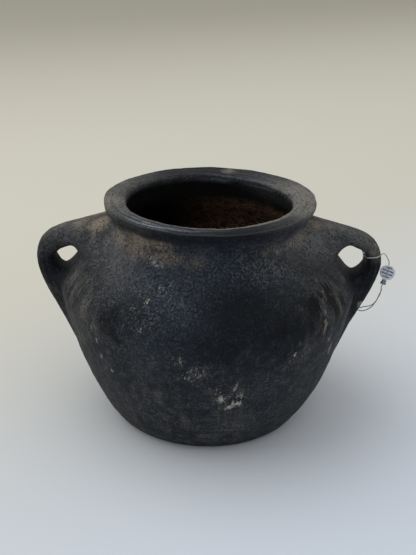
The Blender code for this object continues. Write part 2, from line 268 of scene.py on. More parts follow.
def lattice_noise(points, size, seed):
    """Smooth random values from -1 to 1: each corner of a cubic lattice of that size has a value of its own,
    and a point blends the eight corners round it by the smoothstep of its place between them."""
    cell = np.floor(points / size)
    share = points / size - cell
    share = share * share * (3 - 2 * share)
    cell = cell.astype(np.int64)
    total = np.zeros(len(points))
    for corner in np.ndindex(2, 2, 2):
        x, y, z = ((cell + corner) * HASH_PRIMES).T
        mixed = x ^ y ^ z ^ (seed * SEED_PRIME)
        for shift, factor in HASH_ROUNDS:
            mixed = ((mixed ^ (mixed >> shift)) * factor) & HASH_MASK
        weight = np.prod(np.where(corner, share, 1 - share), axis=1)
        total += weight * (mixed / HASH_HALF - 1)
    return total


def fractal(points, size, octaves, seed):
    """Several lattice noises on top of each other, each half as large and half as strong as the last."""
    return sum(lattice_noise(points, size / 2**i, seed + i) / 2**i for i in range(octaves))


def ease(value, low, high):
    """0 below low, 1 above high, and the smoothstep 3t^2 - 2t^3 between them."""
    t = np.clip((value - low) / (high - low), 0.0, 1.0)
    return t * t * (3 - 2 * t)


# %% [markdown]
# ## The vessel's line
# Cut in half, the pot shows one line: a flat foot, a wall that leans out to a high belly, a full shoulder, a
# short neck and a broad lip, then the inside down to the floor. The line is a few cubic curves. It is walked
# off in short steps where it shows and in longer ones inside, so the detail goes where the eye does.

# %% Set the vessel's sizes
pot_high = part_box("pot_body")[1]
BELLY_RADIUS = pot_high.x
POT_HEIGHT = pot_high.z
FOOT_RADIUS = 0.0775
FOOT_ROUNDING = 0.0035
FLARE = (0.1030, 0.0245)
BELLY_HEIGHT = 0.1140
BELLY_PULL = 0.0090
SHOULDER_PULL = 0.0180
NECK_RADIUS = 0.0780
NECK_HEIGHT = 0.1680
NECK_PULL = 0.0140
RIM_RADIUS = 0.0843
LIP_BAND = 0.0040
LIP_EDGE = 0.0012
LIP_DISH = 0.0013
MOUTH_ROLL = (0.0045, 0.0065)
UNDER_PULL = 0.0050
MOUTH_RADIUS = 0.0660
WALL = 0.0090
FLOOR_THICKNESS = 0.0100
FLOOR_FILLET = 0.0120
FINE_POINTS = 300
COARSE_STEP, OUTER_STEP, LIP_STEP, EDGE_STEP, INNER_STEP = 0.0060, 0.0018, 0.0011, 0.0006, 0.0036


def bezier(*controls):
    """A Bezier curve, which leaves the first control point towards the second and comes to the last from the
    one before it: the sum over i of comb(n, i) (1 - t)^(n - i) t^i times control point i."""
    t = np.linspace(0.0, 1.0, FINE_POINTS)[:, None]
    n = len(controls) - 1
    weights = (math.comb(n, i) * (1 - t) ** (n - i) * t**i for i in range(n + 1))
    return sum(weight * np.array(point, float) for weight, point in zip(weights, controls))


def walk(line, step):
    """Points on a line at nearly equal steps, both ends included."""
    line = np.array(line, float)
    along = walked(line)
    return picked(line, along, np.linspace(0, along[-1], max(2, round(along[-1] / step) + 1)))


print("the pot is", round(2 * BELLY_RADIUS, 4), "metres across and", round(POT_HEIGHT, 4), "high")

# %% [markdown]
# ### From the foot to the floor inside
# The outside runs from the foot over the belly to the neck and the lip. The inside follows it at the wall's
# thickness and ends in a rounded bend to the floor. Each stretch is walked off at its own step.

# %% Draw the line of the vessel
belly = (BELLY_RADIUS, BELLY_HEIGHT)
neck = (NECK_RADIUS, NECK_HEIGHT)
lower_wall = bezier((FOOT_RADIUS, 0), FLARE, (BELLY_RADIUS, BELLY_HEIGHT - BELLY_PULL), belly)
shoulder_wall = bezier(
    belly, (BELLY_RADIUS, BELLY_HEIGHT + SHOULDER_PULL), (NECK_RADIUS, NECK_HEIGHT - NECK_PULL), neck
)
wall_line = np.concatenate([lower_wall, shoulder_wall[1:]])


def wall_radius(height):
    """The outer wall's radius at a height between the foot and the neck."""
    return np.interp(height, wall_line[:, 1], wall_line[:, 0])


foot_edge = (wall_radius(FOOT_ROUNDING), FOOT_ROUNDING)
under_lip = bezier(
    neck,
    (NECK_RADIUS, NECK_HEIGHT + UNDER_PULL),
    (RIM_RADIUS, POT_HEIGHT - LIP_BAND - UNDER_PULL),
    (RIM_RADIUS, POT_HEIGHT - LIP_BAND),
)
lip_corner = bezier(
    (RIM_RADIUS, POT_HEIGHT - LIP_EDGE), (RIM_RADIUS, POT_HEIGHT), (RIM_RADIUS - LIP_EDGE, POT_HEIGHT)
)
mouth_top = POT_HEIGHT - LIP_DISH
roll_in, roll_down = MOUTH_ROLL
mouth_corner = bezier(
    (MOUTH_RADIUS + roll_in, mouth_top), (MOUTH_RADIUS, mouth_top), (MOUTH_RADIUS, mouth_top - roll_down)
)
inner_seat = FLOOR_THICKNESS + FLOOR_FILLET
inner_heights = np.linspace(NECK_HEIGHT, inner_seat, FINE_POINTS)
inner_wall = np.stack([wall_radius(inner_heights) - WALL, inner_heights], axis=1)
inner_base = wall_radius(FLOOR_THICKNESS) - WALL
floor_edge = (inner_base - FLOOR_FILLET, FLOOR_THICKNESS)
floor_bend = bezier(inner_wall[-1], (inner_base, FLOOR_THICKNESS), floor_edge)
stretches = [
    ([(0.0, 0.0), (FOOT_RADIUS - FOOT_ROUNDING, 0.0)], COARSE_STEP),
    (bezier((FOOT_RADIUS - FOOT_ROUNDING, 0.0), (FOOT_RADIUS, 0.0), foot_edge), EDGE_STEP),
    (wall_line[wall_line[:, 1] >= FOOT_ROUNDING], OUTER_STEP),
    (under_lip, LIP_STEP),
    ([under_lip[-1], lip_corner[0]], LIP_STEP),
    (lip_corner, EDGE_STEP),
    ([lip_corner[-1], mouth_corner[0]], LIP_STEP),
    (mouth_corner, EDGE_STEP),
    ([mouth_corner[-1], inner_wall[0]], LIP_STEP),
    (inner_wall, INNER_STEP),
    (floor_bend, INNER_STEP),
    ([floor_bend[-1], (0.0, FLOOR_THICKNESS)], COARSE_STEP),
]
first, *others = (walk(line, step) for line, step in stretches)
profile = np.concatenate([first, *(line[1:] for line in others)])
outer_line = walk(np.concatenate([wall_line, under_lip[1:], lip_corner]), OUTER_STEP)
print("the vessel's line has", len(profile), "points")

# %% [markdown]
# ## The straps' lines
# Each handle is a strap of clay that was pulled by hand, pressed on under the lip and again low on the belly.
# Its outer line is two curves, an arm from the neck to the crown and a leg from the crown down to the wall.
# It is thick and wide at the roots and slimmer at the crown. The section is a superellipse, which is a
# rectangle with well rounded corners.

# %% Draw the straps' lines
CROWN_HEIGHT = crown[2]
CROWN_PULL = 0.0250
UPPER_ROOT_RISE = 0.0040
ROOT_SINK = 0.0080
UPPER_RUN = np.array((0.0500, -0.0110))
LOWER_ROOT_HEIGHT = 0.0490
LOWER_RUN_UP = 0.0310
LOWER_STAND_OFF = 0.0030
STRAP_SQUARENESS = 2.8
STRAP_SIDES = 88
STRAP_WIDTHS = ((0.0, 0.055, 0.21, 0.66, 1.0), (0.0440, 0.0440, 0.0270, 0.0270, 0.0420))
DEPTH_PLACES = (0.0, 0.11, 0.21, 0.34, 0.50, 0.66, 1.0)
RIGHT_DEPTHS = (0.0300, 0.0300, 0.0130, 0.0130, 0.0130, 0.0200, 0.0110)
LEFT_DEPTHS = (0.0300, 0.0300, 0.0172, 0.0172, 0.0150, 0.0200, 0.0110)
STRAP_ROWS = 240


def stepped(run, knots, values):
    """Values at the knots, eased from each to the next with a smoothstep."""
    knots, values = np.array(knots), np.array(values)
    i = np.clip(np.searchsorted(knots, run, side="right") - 1, 0, len(knots) - 2)
    t = (run - knots[i]) / (knots[i + 1] - knots[i])
    return values[i] + (values[i + 1] - values[i]) * t * t * (3 - 2 * t)


def strap(node, side, depths):
    """A strap's outer line in X and Z from root to root in equal steps, its outward normal there, and its
    half sizes through the strap and across it."""
    low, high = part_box(node)
    reach = max(high.x, -low.x)
    root_height = NECK_HEIGHT + UPPER_ROOT_RISE
    upper = np.array((wall_radius(root_height) - ROOT_SINK, root_height))
    tip = np.array((reach, CROWN_HEIGHT))
    pull = np.array((0.0, CROWN_PULL))
    lower = np.array((wall_radius(LOWER_ROOT_HEIGHT), LOWER_ROOT_HEIGHT))
    leg_height = LOWER_ROOT_HEIGHT + LOWER_RUN_UP
    beside = np.array((wall_radius(leg_height) + LOWER_STAND_OFF, leg_height))
    arm = bezier(upper, upper + UPPER_RUN, tip + pull, tip)
    leg = bezier(tip, tip - pull, beside, lower)
    line = np.concatenate([arm, leg[1:]])
    along = walked(line)
    at = np.linspace(0.0, along[-1], STRAP_ROWS)
    run = np.interp(at, along, np.linspace(0.0, 1.0, len(line)))
    line = picked(line, along, at)
    through = stepped(run, DEPTH_PLACES, depths) / 2
    across = stepped(run, *STRAP_WIDTHS) / 2
    tangent = unit(np.gradient(line, axis=0))
    normal = np.stack([-tangent[:, 1], tangent[:, 0]], axis=1)
    print(node, "strap is", round(along[-1] * 1000, 1), "mm long")
    sizes = {"through": through, "across": across, "step": at[1]}
    return {"side": side, "line": line, "normal": normal, **sizes}


right_strap = strap("right_handle", 1.0, RIGHT_DEPTHS)
left_strap = strap("left_handle", -1.0, LEFT_DEPTHS)

# %% [markdown]
# ## Clay smeared over the joints
# Wet clay was smeared over each root, so strap and wall run into each other without a crease. Two meshes
# that only cross would show a hard line. Here both are drawn onto one shared surface, the smooth union of
# the two forms: the smaller of two distances, less a little more where they are nearly equal. Newton's
# steps take every point near a joint onto that surface, all points at once.

# %% Measure distances from the forms
TINY = 1e-7
CHUNK = 4000


def measured(flat, line):
    """Signed distance of flat points from lines of straight pieces, and its slope: the gap to the nearest
    place on any piece, counted positive on the right-hand side of the line's way."""
    start, step = line[:, :-1], np.diff(line, axis=1)
    away = flat[:, None] - start
    share = np.clip((away * step).sum(axis=2) / (step**2).sum(axis=2), 0, 1)
    gap = away - share[..., None] * step
    best = np.argmin((gap**2).sum(axis=2), axis=1)
    rows = np.arange(len(flat))
    gap, way = gap[rows, best], np.broadcast_to(step, gap.shape)[rows, best]
    normal = unit(np.stack([way[:, 1], -way[:, 0]], axis=1))
    far = np.linalg.norm(gap, axis=1)
    side = np.where((gap * normal).sum(axis=1) < 0, -1.0, 1.0)
    slope = np.where(far[:, None] > TINY, gap * (side / np.maximum(far, TINY))[:, None], normal)
    return side * far, slope


def chunks(points):
    """The points a few thousand at a time, which keeps the arrays of pairs small."""
    return (points[first : first + CHUNK] for first in range(0, len(points), CHUNK))


def wall_field(points):
    """Distance from the vessel's outer surface, positive outside, and its slope in space. Both come from
    the vessel's line in radius and height."""
    found = []
    for some in chunks(points):
        radius = np.maximum(np.hypot(some[:, 0], some[:, 1]), TINY)
        far, slope = measured(np.stack([radius, some[:, 2]], axis=1), outer_line[None])
        turn = slope[:, :1] * some[:, :2] / radius[:, None]
        found.append(np.column_stack([far, turn, slope[:, 1]]))
    found = np.concatenate(found)
    return found[:, 0], found[:, 1:]


# %% [markdown]
# ### Distance from a strap
# A strap has no simple formula, so its nearest section stands for it. In that section the distance is
# measured from one quarter of the superellipse, because the other three mirror it.

# %% Measure distances from a strap
QUARTER_POINTS = 40
EYE_BELOW, EYE_ASIDE = (0.2, 0.9), (0.7, 1.1)


def superellipse(count, whole=True):
    """Points round the unit superellipse |n|^p + |y|^p = 1, or on its first quarter with both ends."""
    around = np.linspace(0, math.tau, count, endpoint=False) if whole else np.linspace(0, math.pi / 2, count)
    power = 2 / STRAP_SQUARENESS
    out = np.sign(np.cos(around)) * np.abs(np.cos(around)) ** power
    aside = np.sign(np.sin(around)) * np.abs(np.sin(around)) ** power
    return out, aside


def strap_field(points, form):
    """Distance from a strap, positive outside, its slope in space, and a share that is 1 on the side of the
    eye. The distance is the one in the strap's nearest section, whose quarter |n/a|^p + |y/b|^p = 1 stands
    for all four, joined with the way past the strap's end."""
    quarter = np.stack(superellipse(QUARTER_POINTS, whole=False), axis=1)
    last = len(form["line"]) - 1
    rows = np.arange(last + 1)
    found = []
    for some in chunks(points):
        away = np.stack([some[:, 0] * form["side"], some[:, 2]], axis=1)[:, None] - form["line"]
        best = np.argmin((away**2).sum(axis=2), axis=1)
        offset, normal = away[np.arange(len(best)), best], form["normal"][best]
        tangent = np.stack([normal[:, 1], -normal[:, 0]], axis=1)
        row = best + (offset * tangent).sum(axis=1) / form["step"]
        past = np.maximum(np.maximum(row - last, -row), 0) * form["step"]
        half = np.stack([np.interp(row, rows, form[key]) for key in ("through", "across")], axis=1)
        place = np.stack([(offset * normal).sum(axis=1) + half[:, 0], some[:, 1]], axis=1)
        far, slope = measured(np.abs(place), quarter * half[:, None])
        slope = slope * np.where(place < 0, -1.0, 1.0)
        joined = np.where(past > 0, np.hypot(np.maximum(far, 0), past), far)
        in_section = np.where(past > 0, np.maximum(far, 0) / np.maximum(joined, TINY), 1.0)
        along = past / np.maximum(np.abs(joined), TINY) * np.where(best == 0, -1.0, 1.0)
        flat = normal * (slope[:, 0] * in_section)[:, None] + tangent * along[:, None]
        below, aside = -place[:, 0] / half[:, 0], np.abs(place[:, 1]) / half[:, 1]
        eye = ease(below, *EYE_BELOW) * (1 - ease(aside, *EYE_ASIDE))
        slopes = [form["side"] * flat[:, 0], slope[:, 1] * in_section, flat[:, 1]]
        found.append(np.column_stack([joined, *slopes, eye]))
    found = np.concatenate(found)
    return found[:, 0], found[:, 1:4], found[:, 4]


print("the outer line has", len(outer_line), "points, a strap's section", 4 * QUARTER_POINTS - 4)

# %% [markdown]
# ### The shared surface
# The smear is wide at the sides of the upper roots, slimmer low down, tight inside the eye and under the
# lip, and thins out to nearly nothing where a strap ends on the wall. A piece stops a little way under its
# neighbour, sunk by a hair, so that only one skin shows.

# %% Settle points on the smooth union
LUTE_LOW, LUTE_HIGH = 0.0080, 0.0170
LUTE_HEIGHTS = (0.1000, 0.1500)
LUTE_EYE = 0.0095
LUTE_LIP = 0.0040
LIP_HEIGHTS = (0.1640, 0.1740)
LUTE_TIP = 0.0015
TIP_HEIGHTS = (0.0480, 0.0900)
OVERLAP = 0.0060
TUCK = 0.0005
SETTLE_STEPS = 10
LONGEST_STEP = 0.0015
FLATTEST = 0.15


def union_field(points, form):
    """The smooth union of wall and strap, min(a, b) - max(k - |a - b|, 0)^2 / 4k, and its slope, which is
    the two slopes mixed by how much each distance counts."""
    wall, wall_slope = wall_field(points)
    clay, clay_slope, eye = strap_field(points, form)
    reach = LUTE_LOW + (LUTE_HIGH - LUTE_LOW) * ease(points[:, 2], *LUTE_HEIGHTS)
    reach = reach + (LUTE_EYE - reach) * eye
    reach = reach + (LUTE_LIP - reach) * ease(points[:, 2], *LIP_HEIGHTS)
    reach = LUTE_TIP + (reach - LUTE_TIP) * ease(points[:, 2], *TIP_HEIGHTS)
    close = np.maximum(reach - np.abs(wall - clay), 0)
    share = close / (2 * reach)
    weight = np.where(wall < clay, 1 - share, share)[:, None]
    return np.minimum(wall, clay) - close**2 / (4 * reach), weight * wall_slope + (1 - weight) * clay_slope


def settle(points, normals, other, form):
    """Takes the points that lie near the other form onto the shared surface, by steps of -F slope / slope^2,
    and gives them that surface's normals. The other form's distance says which points are near, and those
    that go under it are tucked in a little."""
    near = (other < LUTE_HIGH) & (other > -OVERLAP)
    tuck = TUCK * ease(-other[near], OVERLAP / 2, OVERLAP)
    moving = points[near]
    for _ in range(SETTLE_STEPS):
        union, slope = union_field(moving, form)
        step = -(union + tuck) / np.maximum((slope**2).sum(axis=1), FLATTEST)
        size = np.linalg.norm(slope, axis=1)
        step = np.clip(step * size, -LONGEST_STEP, LONGEST_STEP) / np.maximum(size, TINY)
        moving = moving + slope * step[:, None]
    union, slope = union_field(moving, form)
    points, normals = points.copy(), normals.copy()
    points[near] = moving
    normals[near] = unit(slope)
    missed = np.abs(union + tuck)
    print(near.sum(), "points settle, half to", round(np.median(missed) * 1e6, 1), "and all but 1 in 100 to",
          round(np.percentile(missed, 99) * 1e6, 1), "microns")
    return points, normals


# %% [markdown]
# ## The hand-made surface
# The pot was turned slowly and finished by hand, so no ring of it is quite round. A few slow waves and some
# noise, all under half a millimetre, give that life. Dents, gouges, chips and lumps of crust are pressed in
# where they were seen. All of it depends on the place alone, so two pieces that meet get the same relief.

# %% Work out the relief
SLOW_WAVES = ((2, 14.0, 0.6, 0.00030), (3, -20.0, 1.3, 0.00022), (5, 33.0, 2.0, 0.00014))
WAVE_REACH = (0.0020, 0.0200)
HAND_NOISES = ((0.0300, 2, 11, 0.00030), (0.0065, 3, 23, 0.00020))
LIP_NOISE, LIP_RIPPLE = (0.0110, 31), 0.00022
LIP_RISE = 0.0060
LIP_SPARE = 0.0004
SKIN_SPARE = 0.0003
FOOT_RISE = (0.0010, 0.0120)
MARK_NOISE = (0.0033, 41)
DENT_DEPTH = 0.5
MM = 0.001
DENTS = [
    (44.8, 129, 4.5, 8, 0.8), (56.5, 126, 4.5, 11, 1.0), (54.9, 119, 3.6, 5, 0.8), (49.5, 109, 2.8, 3, 0.6),
    (58.3, 77, 3.0, 4, 0.6), (27.6, 119, 1.8, 3.0, 0.6), (35.3, 111, 2.2, 2.2, 0.6), (61, 116, 3.4, 7, 0.9),
    (-48, 121, 2.2, 4, 0.4), (-33, 60, 3.0, 2, 0.4), (22, 92, 2.0, 2.4, 0.4), (38, 66, 3.4, 2.4, 0.4),
]
LUMPS = [
    (5.8, 68, 5, 4, 0.45), (5.7, 60, 4, 3, 0.4), (12.7, 58, 6, 3, 0.4), (10.9, 77, 3, 4, 0.3),
    (15.7, 62, 2.5, 2.5, 0.3),
]
STRAP_CHIPS = [(135.9, -5.8, 151.3, 3.2, 0.9), (126.4, -12.8, 99.6, 3.4, 0.9), (141.0, -9.0, 141.0, 2.6, 0.6)]


def spots(points, marks):
    """The strongest of several soft spots on the wall. Each has an azimuth from the front, a height, a half
    width and a half height in millimetres and a strength, and fades as exp(-distance squared)."""
    total = np.zeros(len(points))
    for azimuth, height, half_width, half_height, strength in marks:
        radius, turn = wall_radius(height * MM), math.radians(azimuth)
        flat = np.hypot(points[:, 0] - radius * math.sin(turn), points[:, 1] + radius * math.cos(turn))
        fade = (flat / (half_width * MM)) ** 2 + ((points[:, 2] - height * MM) / (half_height * MM)) ** 2
        total = np.maximum(total, strength * np.exp(-fade))
    return total


def chips(points, marks):
    """The strongest of several soft balls in space, each with its middle and radius in millimetres and its
    strength."""
    total = np.zeros(len(points))
    for x, y, z, radius, strength in marks:
        fade = (((points - np.array((x, y, z)) * MM) / (radius * MM)) ** 2).sum(axis=1)
        total = np.maximum(total, strength * np.exp(-fade))
    return total


def relief(points, from_wall, outside):
    """How far the surface stands off its drawn form at each place: waves round the pot that fade away from
    the wall, fractal noise, and on the outside the lumps, less the dents and chips."""
    height = points[:, 2]
    azimuth = np.arctan2(points[:, 0], -points[:, 1])
    turns = ((size, count * azimuth + lean * height + start) for count, lean, start, size in SLOW_WAVES)
    waves = sum(size * np.cos(turn) for size, turn in turns)
    on_lip = ease(height, NECK_HEIGHT, NECK_HEIGHT + LIP_RISE)
    stands = waves * (1 - ease(from_wall, *WAVE_REACH)) * (1 - on_lip / 2) - SKIN_SPARE
    stands += sum(high * fractal(points, size, octaves, seed) for size, octaves, seed, high in HAND_NOISES)
    stands += on_lip * (LIP_RIPPLE * lattice_noise(points, *LIP_NOISE) - LIP_SPARE)
    pressed = DENT_DEPTH * spots(points, DENTS) + chips(points, STRAP_CHIPS) - spots(points, LUMPS)
    stands -= outside * MM * pressed * (1 + lattice_noise(points, *MARK_NOISE) / 2)
    return stands * ease(height, *FOOT_RISE)


print(len(DENTS), "dents,", len(LUMPS), "lumps and", len(STRAP_CHIPS), "chips")

# %% [markdown]
# ## The vessel
# The vessel's line is turned about the upright axis. Its points near the handles settle on the shared
# surface, and then the relief moves every point along its normal. Last comes what a hand-made pot has of
# its own: the lip rolls over at the front, reaches a little further at the back, and one side is fuller.

# %% Make the vessel
COLUMNS = 396
ZONE_FROM, ZONE_HALF, ZONE_ABOVE = 0.050, 0.045, 0.030
LIP_ROLL = 0.0024
LIP_CREST = 0.0055
ROLL_FRONT = (-0.2, 0.8)
LIP_REACH, REACH_AZIMUTH = 0.0026, math.radians(140)
REACH_FADE = (-0.2, 1.0)
FULL_SIDE = (82, 46, 62, 32, 1.7)

way = unit(np.gradient(profile, axis=0))
azimuth = np.linspace(0, math.tau, COLUMNS, endpoint=False)
turn = np.stack([np.sin(azimuth), -np.cos(azimuth)], axis=1)
heights = np.repeat(profile[:, 1], COLUMNS)
points = np.column_stack([(profile[:, None, 0, None] * turn).reshape(-1, 2), heights])
normals = np.column_stack([(way[:, None, 1, None] * turn).reshape(-1, 2), np.repeat(-way[:, 0], COLUMNS)])
outside = np.repeat(np.arange(len(profile)) <= np.argmax(profile[:, 1]), COLUMNS)
for form in (left_strap, right_strap):
    zone = outside & (points[:, 0] * form["side"] > ZONE_FROM) & (np.abs(points[:, 1]) < ZONE_HALF)
    zone &= heights > ZONE_ABOVE
    gap = strap_field(points[zone], form)[0]
    points[zone], normals[zone] = settle(points[zone], normals[zone], gap, form)
from_wall = np.zeros(len(points))
from_wall[outside] = wall_field(points[outside])[0]
fuller = MM * spots(points, [FULL_SIDE]) * outside * ease(heights, *FOOT_RISE)
moved = points + normals * (relief(points, from_wall, outside) + fuller)[:, None]
drawn_out = np.repeat(profile[:, 0], COLUMNS)
around = np.tile(azimuth, len(profile))
under = ease(heights, NECK_HEIGHT + LIP_BAND, POT_HEIGHT - LIP_EDGE)
over = ease(drawn_out, MOUTH_RADIUS + LIP_CREST, RIM_RADIUS + LIP_CREST) * 2
moved[:, 2] -= LIP_ROLL * ease(np.cos(around), *ROLL_FRONT) * under * np.minimum(over, 1)
reach = LIP_REACH * ease(np.cos(around - REACH_AZIMUTH), *REACH_FADE)
reach *= under * ease(drawn_out, NECK_RADIUS - LIP_BAND, RIM_RADIUS)
moved[:, :2] *= 1 + (reach / np.maximum(drawn_out, TINY))[:, None]
vessel = skin("clay_vessel", moved.reshape(len(profile), COLUMNS, 3))

# %% [markdown]
# ## The handles
# The same section is carried along each strap's line. Its points near the wall settle on the shared
# surface too. What would stick through into the pot is drawn back into the thickness of the wall. Each
# point also keeps its place in the strap, so that brush marks can run along it.

# %% Make the handles
ROOT_DEPTH = 0.0040
BRUSH_DRAW = 0.05


def strap_piece(name, form):
    """Sections |n/a|^p + |y/b|^p = 1 carried along the strap's middle line, then settled on the wall."""
    out, aside = superellipse(STRAP_SIDES)
    flat = form["line"][:, None] + (form["normal"] * form["through"][:, None])[:, None] * (out[:, None] - 1)
    rings = np.stack([form["side"] * flat[..., 0], form["across"][:, None] * aside, flat[..., 1]], axis=-1)
    around = np.roll(rings, -1, axis=1) - np.roll(rings, 1, axis=1)
    normals = unit(np.cross(np.gradient(rings, axis=0), around))
    if ((rings - rings.mean(axis=1, keepdims=True)) * normals).sum() < 0:
        normals = -normals
    points, normals = rings.reshape(-1, 3), normals.reshape(-1, 3)
    points, normals = settle(points, normals, wall_field(points)[0], form)
    from_wall = wall_field(points)[0]
    points = points + normals * relief(points, from_wall, np.ones(len(points)))[:, None]
    from_wall, slope = wall_field(points)
    points = points + slope * np.maximum(-ROOT_DEPTH - from_wall, 0)[:, None]
    piece = skin(name, points.reshape(rings.shape))
    depth = form["through"][:, None] * (out - 1)
    along = np.broadcast_to(BRUSH_DRAW * form["step"] * np.arange(STRAP_ROWS)[:, None], depth.shape)
    paint(piece, "brushed", on_skin(np.stack([depth, rings[..., 1], along], axis=-1)))
    return piece


right_handle = strap_piece("right_clay_strap", right_strap)
left_handle = strap_piece("left_clay_strap", left_strap)

# %% [markdown]
# ## The lead seal
# Such a seal is a soft lead disc that was squeezed between the jaws of a pair of pliers. The jaws leave a
# raised border and a few plain ribs. The lead flows a little, so the outline isn't a true circle. The disc
# is a surface of two parameters: the way from the front's middle over the edge to the back's middle, and
# the angle.

# %% Press the lead seal
SEAL_THICKNESS = 0.0040
SEAL_BORDER = 0.0010
SEAL_RECESS = 0.0005
SEAL_EDGE = 0.0007
SEAL_COLUMNS = 180
FACE_ROWS, CORNER_ROWS = 60, 9
RIB_PITCH = 0.0027
RIB_LEAN = 0.22
RIB_BREAK = 0.0052
RIB_EDGE, BREAK_EDGE = (-0.2, 0.5), (0.6, 0.95)
BREAK_DEPTH = 0.7
FLOW_GRAIN, FLOW_SEED, SEAL_FLOW = 0.0028, 70, 0.00016

half = SEAL_THICKNESS / 2
front = np.linspace(0, SEAL_RADIUS - SEAL_EDGE, FACE_ROWS)
corner_turn = np.linspace(0, math.pi / 2, CORNER_ROWS)[1:]
edge_out = SEAL_RADIUS - SEAL_EDGE + SEAL_EDGE * np.sin(corner_turn)
edge_up = half - SEAL_EDGE + SEAL_EDGE * np.cos(corner_turn)
seal_line_out = np.concatenate([front, edge_out, edge_out[-1:], edge_out[::-1], front[::-1]])
flat_face = np.full(FACE_ROWS, half)
seal_line_up = np.concatenate([flat_face, edge_up, [0.0], -edge_up[::-1], -flat_face])
angle = np.linspace(0, math.tau, SEAL_COLUMNS, endpoint=False)
sideways = (seal_line_out[:, None] * np.cos(angle)).ravel()
upwards = (seal_line_out[:, None] * np.sin(angle)).ravel()
through = np.repeat(seal_line_up, SEAL_COLUMNS)
from_middle = np.repeat(seal_line_out, SEAL_COLUMNS)
in_field = 1 - ease(from_middle, SEAL_RADIUS - SEAL_BORDER - SEAL_RECESS, SEAL_RADIUS - SEAL_BORDER)
ribs = ease(np.cos(math.tau * (upwards + RIB_LEAN * sideways) / RIB_PITCH), *RIB_EDGE)
breaks = ease(np.cos(math.tau * (sideways - RIB_LEAN * upwards) / RIB_BREAK), *BREAK_EDGE)
ribs *= 1 - BREAK_DEPTH * breaks
on_face = ease(np.abs(through), half - SEAL_EDGE / 2, half)
hollow = on_face * in_field * (1 - ribs)
through = through - np.sign(through) * SEAL_RECESS * hollow
seal_flat = np.stack([sideways, upwards, through], axis=1)
flow = np.stack([lattice_noise(seal_flat, FLOW_GRAIN, FLOW_SEED + i) for i in range(3)], axis=1)
seal_flat += SEAL_FLOW * flow
seal_points = seal_centre + seal_flat @ np.stack([seal_right, seal_up, seal_face])
seal = skin("pressed_lead_seal", seal_points.reshape(-1, SEAL_COLUMNS, 3))
paint(seal, "hollow", on_skin(hollow.reshape(-1, SEAL_COLUMNS)))

# %% [markdown]
# ## The ferrule
# A short lead sleeve was slid over both strands and pinched flat with a tool, so its middle is narrower one
# way than at its ends. It is a tube that turns back on itself at both ends: one parameter walks out along
# the outside and home along the bore, the other goes round.

# %% Crimp the ferrule
FERRULE_WALL = 0.0006
FERRULE_FLARE = 0.0004
FERRULE_PINCH = 0.00028
FLARE_RUN = (-0.2, 0.4)
PINCH_RUN, PINCH_POWER = 0.45, 4
END_ROUNDING, END_POWER = FERRULE_WALL / 2, 16
BORE_GAP = 0.0003
FERRULE_COLUMNS = 72
FERRULE_ROWS = 40

bore = (TWIN_SPACING + WIRE_DIAMETER) / 2 + BORE_GAP
half_length = FERRULE_LENGTH / 2
run = np.linspace(-1, 1, FERRULE_ROWS)
outer_radius = bore + FERRULE_WALL + FERRULE_FLARE * ease(run, *FLARE_RUN) - END_ROUNDING * run**END_POWER
tube_out = np.concatenate([outer_radius, np.full(FERRULE_ROWS, bore)])
tube_along = np.concatenate([run, run[::-1]]) * half_length
pinch = np.concatenate([np.exp(-((run / PINCH_RUN) ** 2)), np.zeros(FERRULE_ROWS)])
angle = np.linspace(0, math.tau, FERRULE_COLUMNS, endpoint=False)
radius = tube_out[:, None] - FERRULE_PINCH * pinch[:, None] * np.cos(angle) ** PINCH_POWER
ferrule_side = np.cross(ferrule_way, seal_face)
ferrule_centre = seal_centre + ferrule_way * (sleeve_end - half_length) + seal_face * TWIN_SPACING / 2
spread = radius[..., None] * (np.cos(angle)[:, None] * seal_face + np.sin(angle)[:, None] * ferrule_side)
tube = ferrule_centre + tube_along[:, None, None] * ferrule_way + spread
ferrule = skin("crimped_lead_sleeve", tube, "joined")
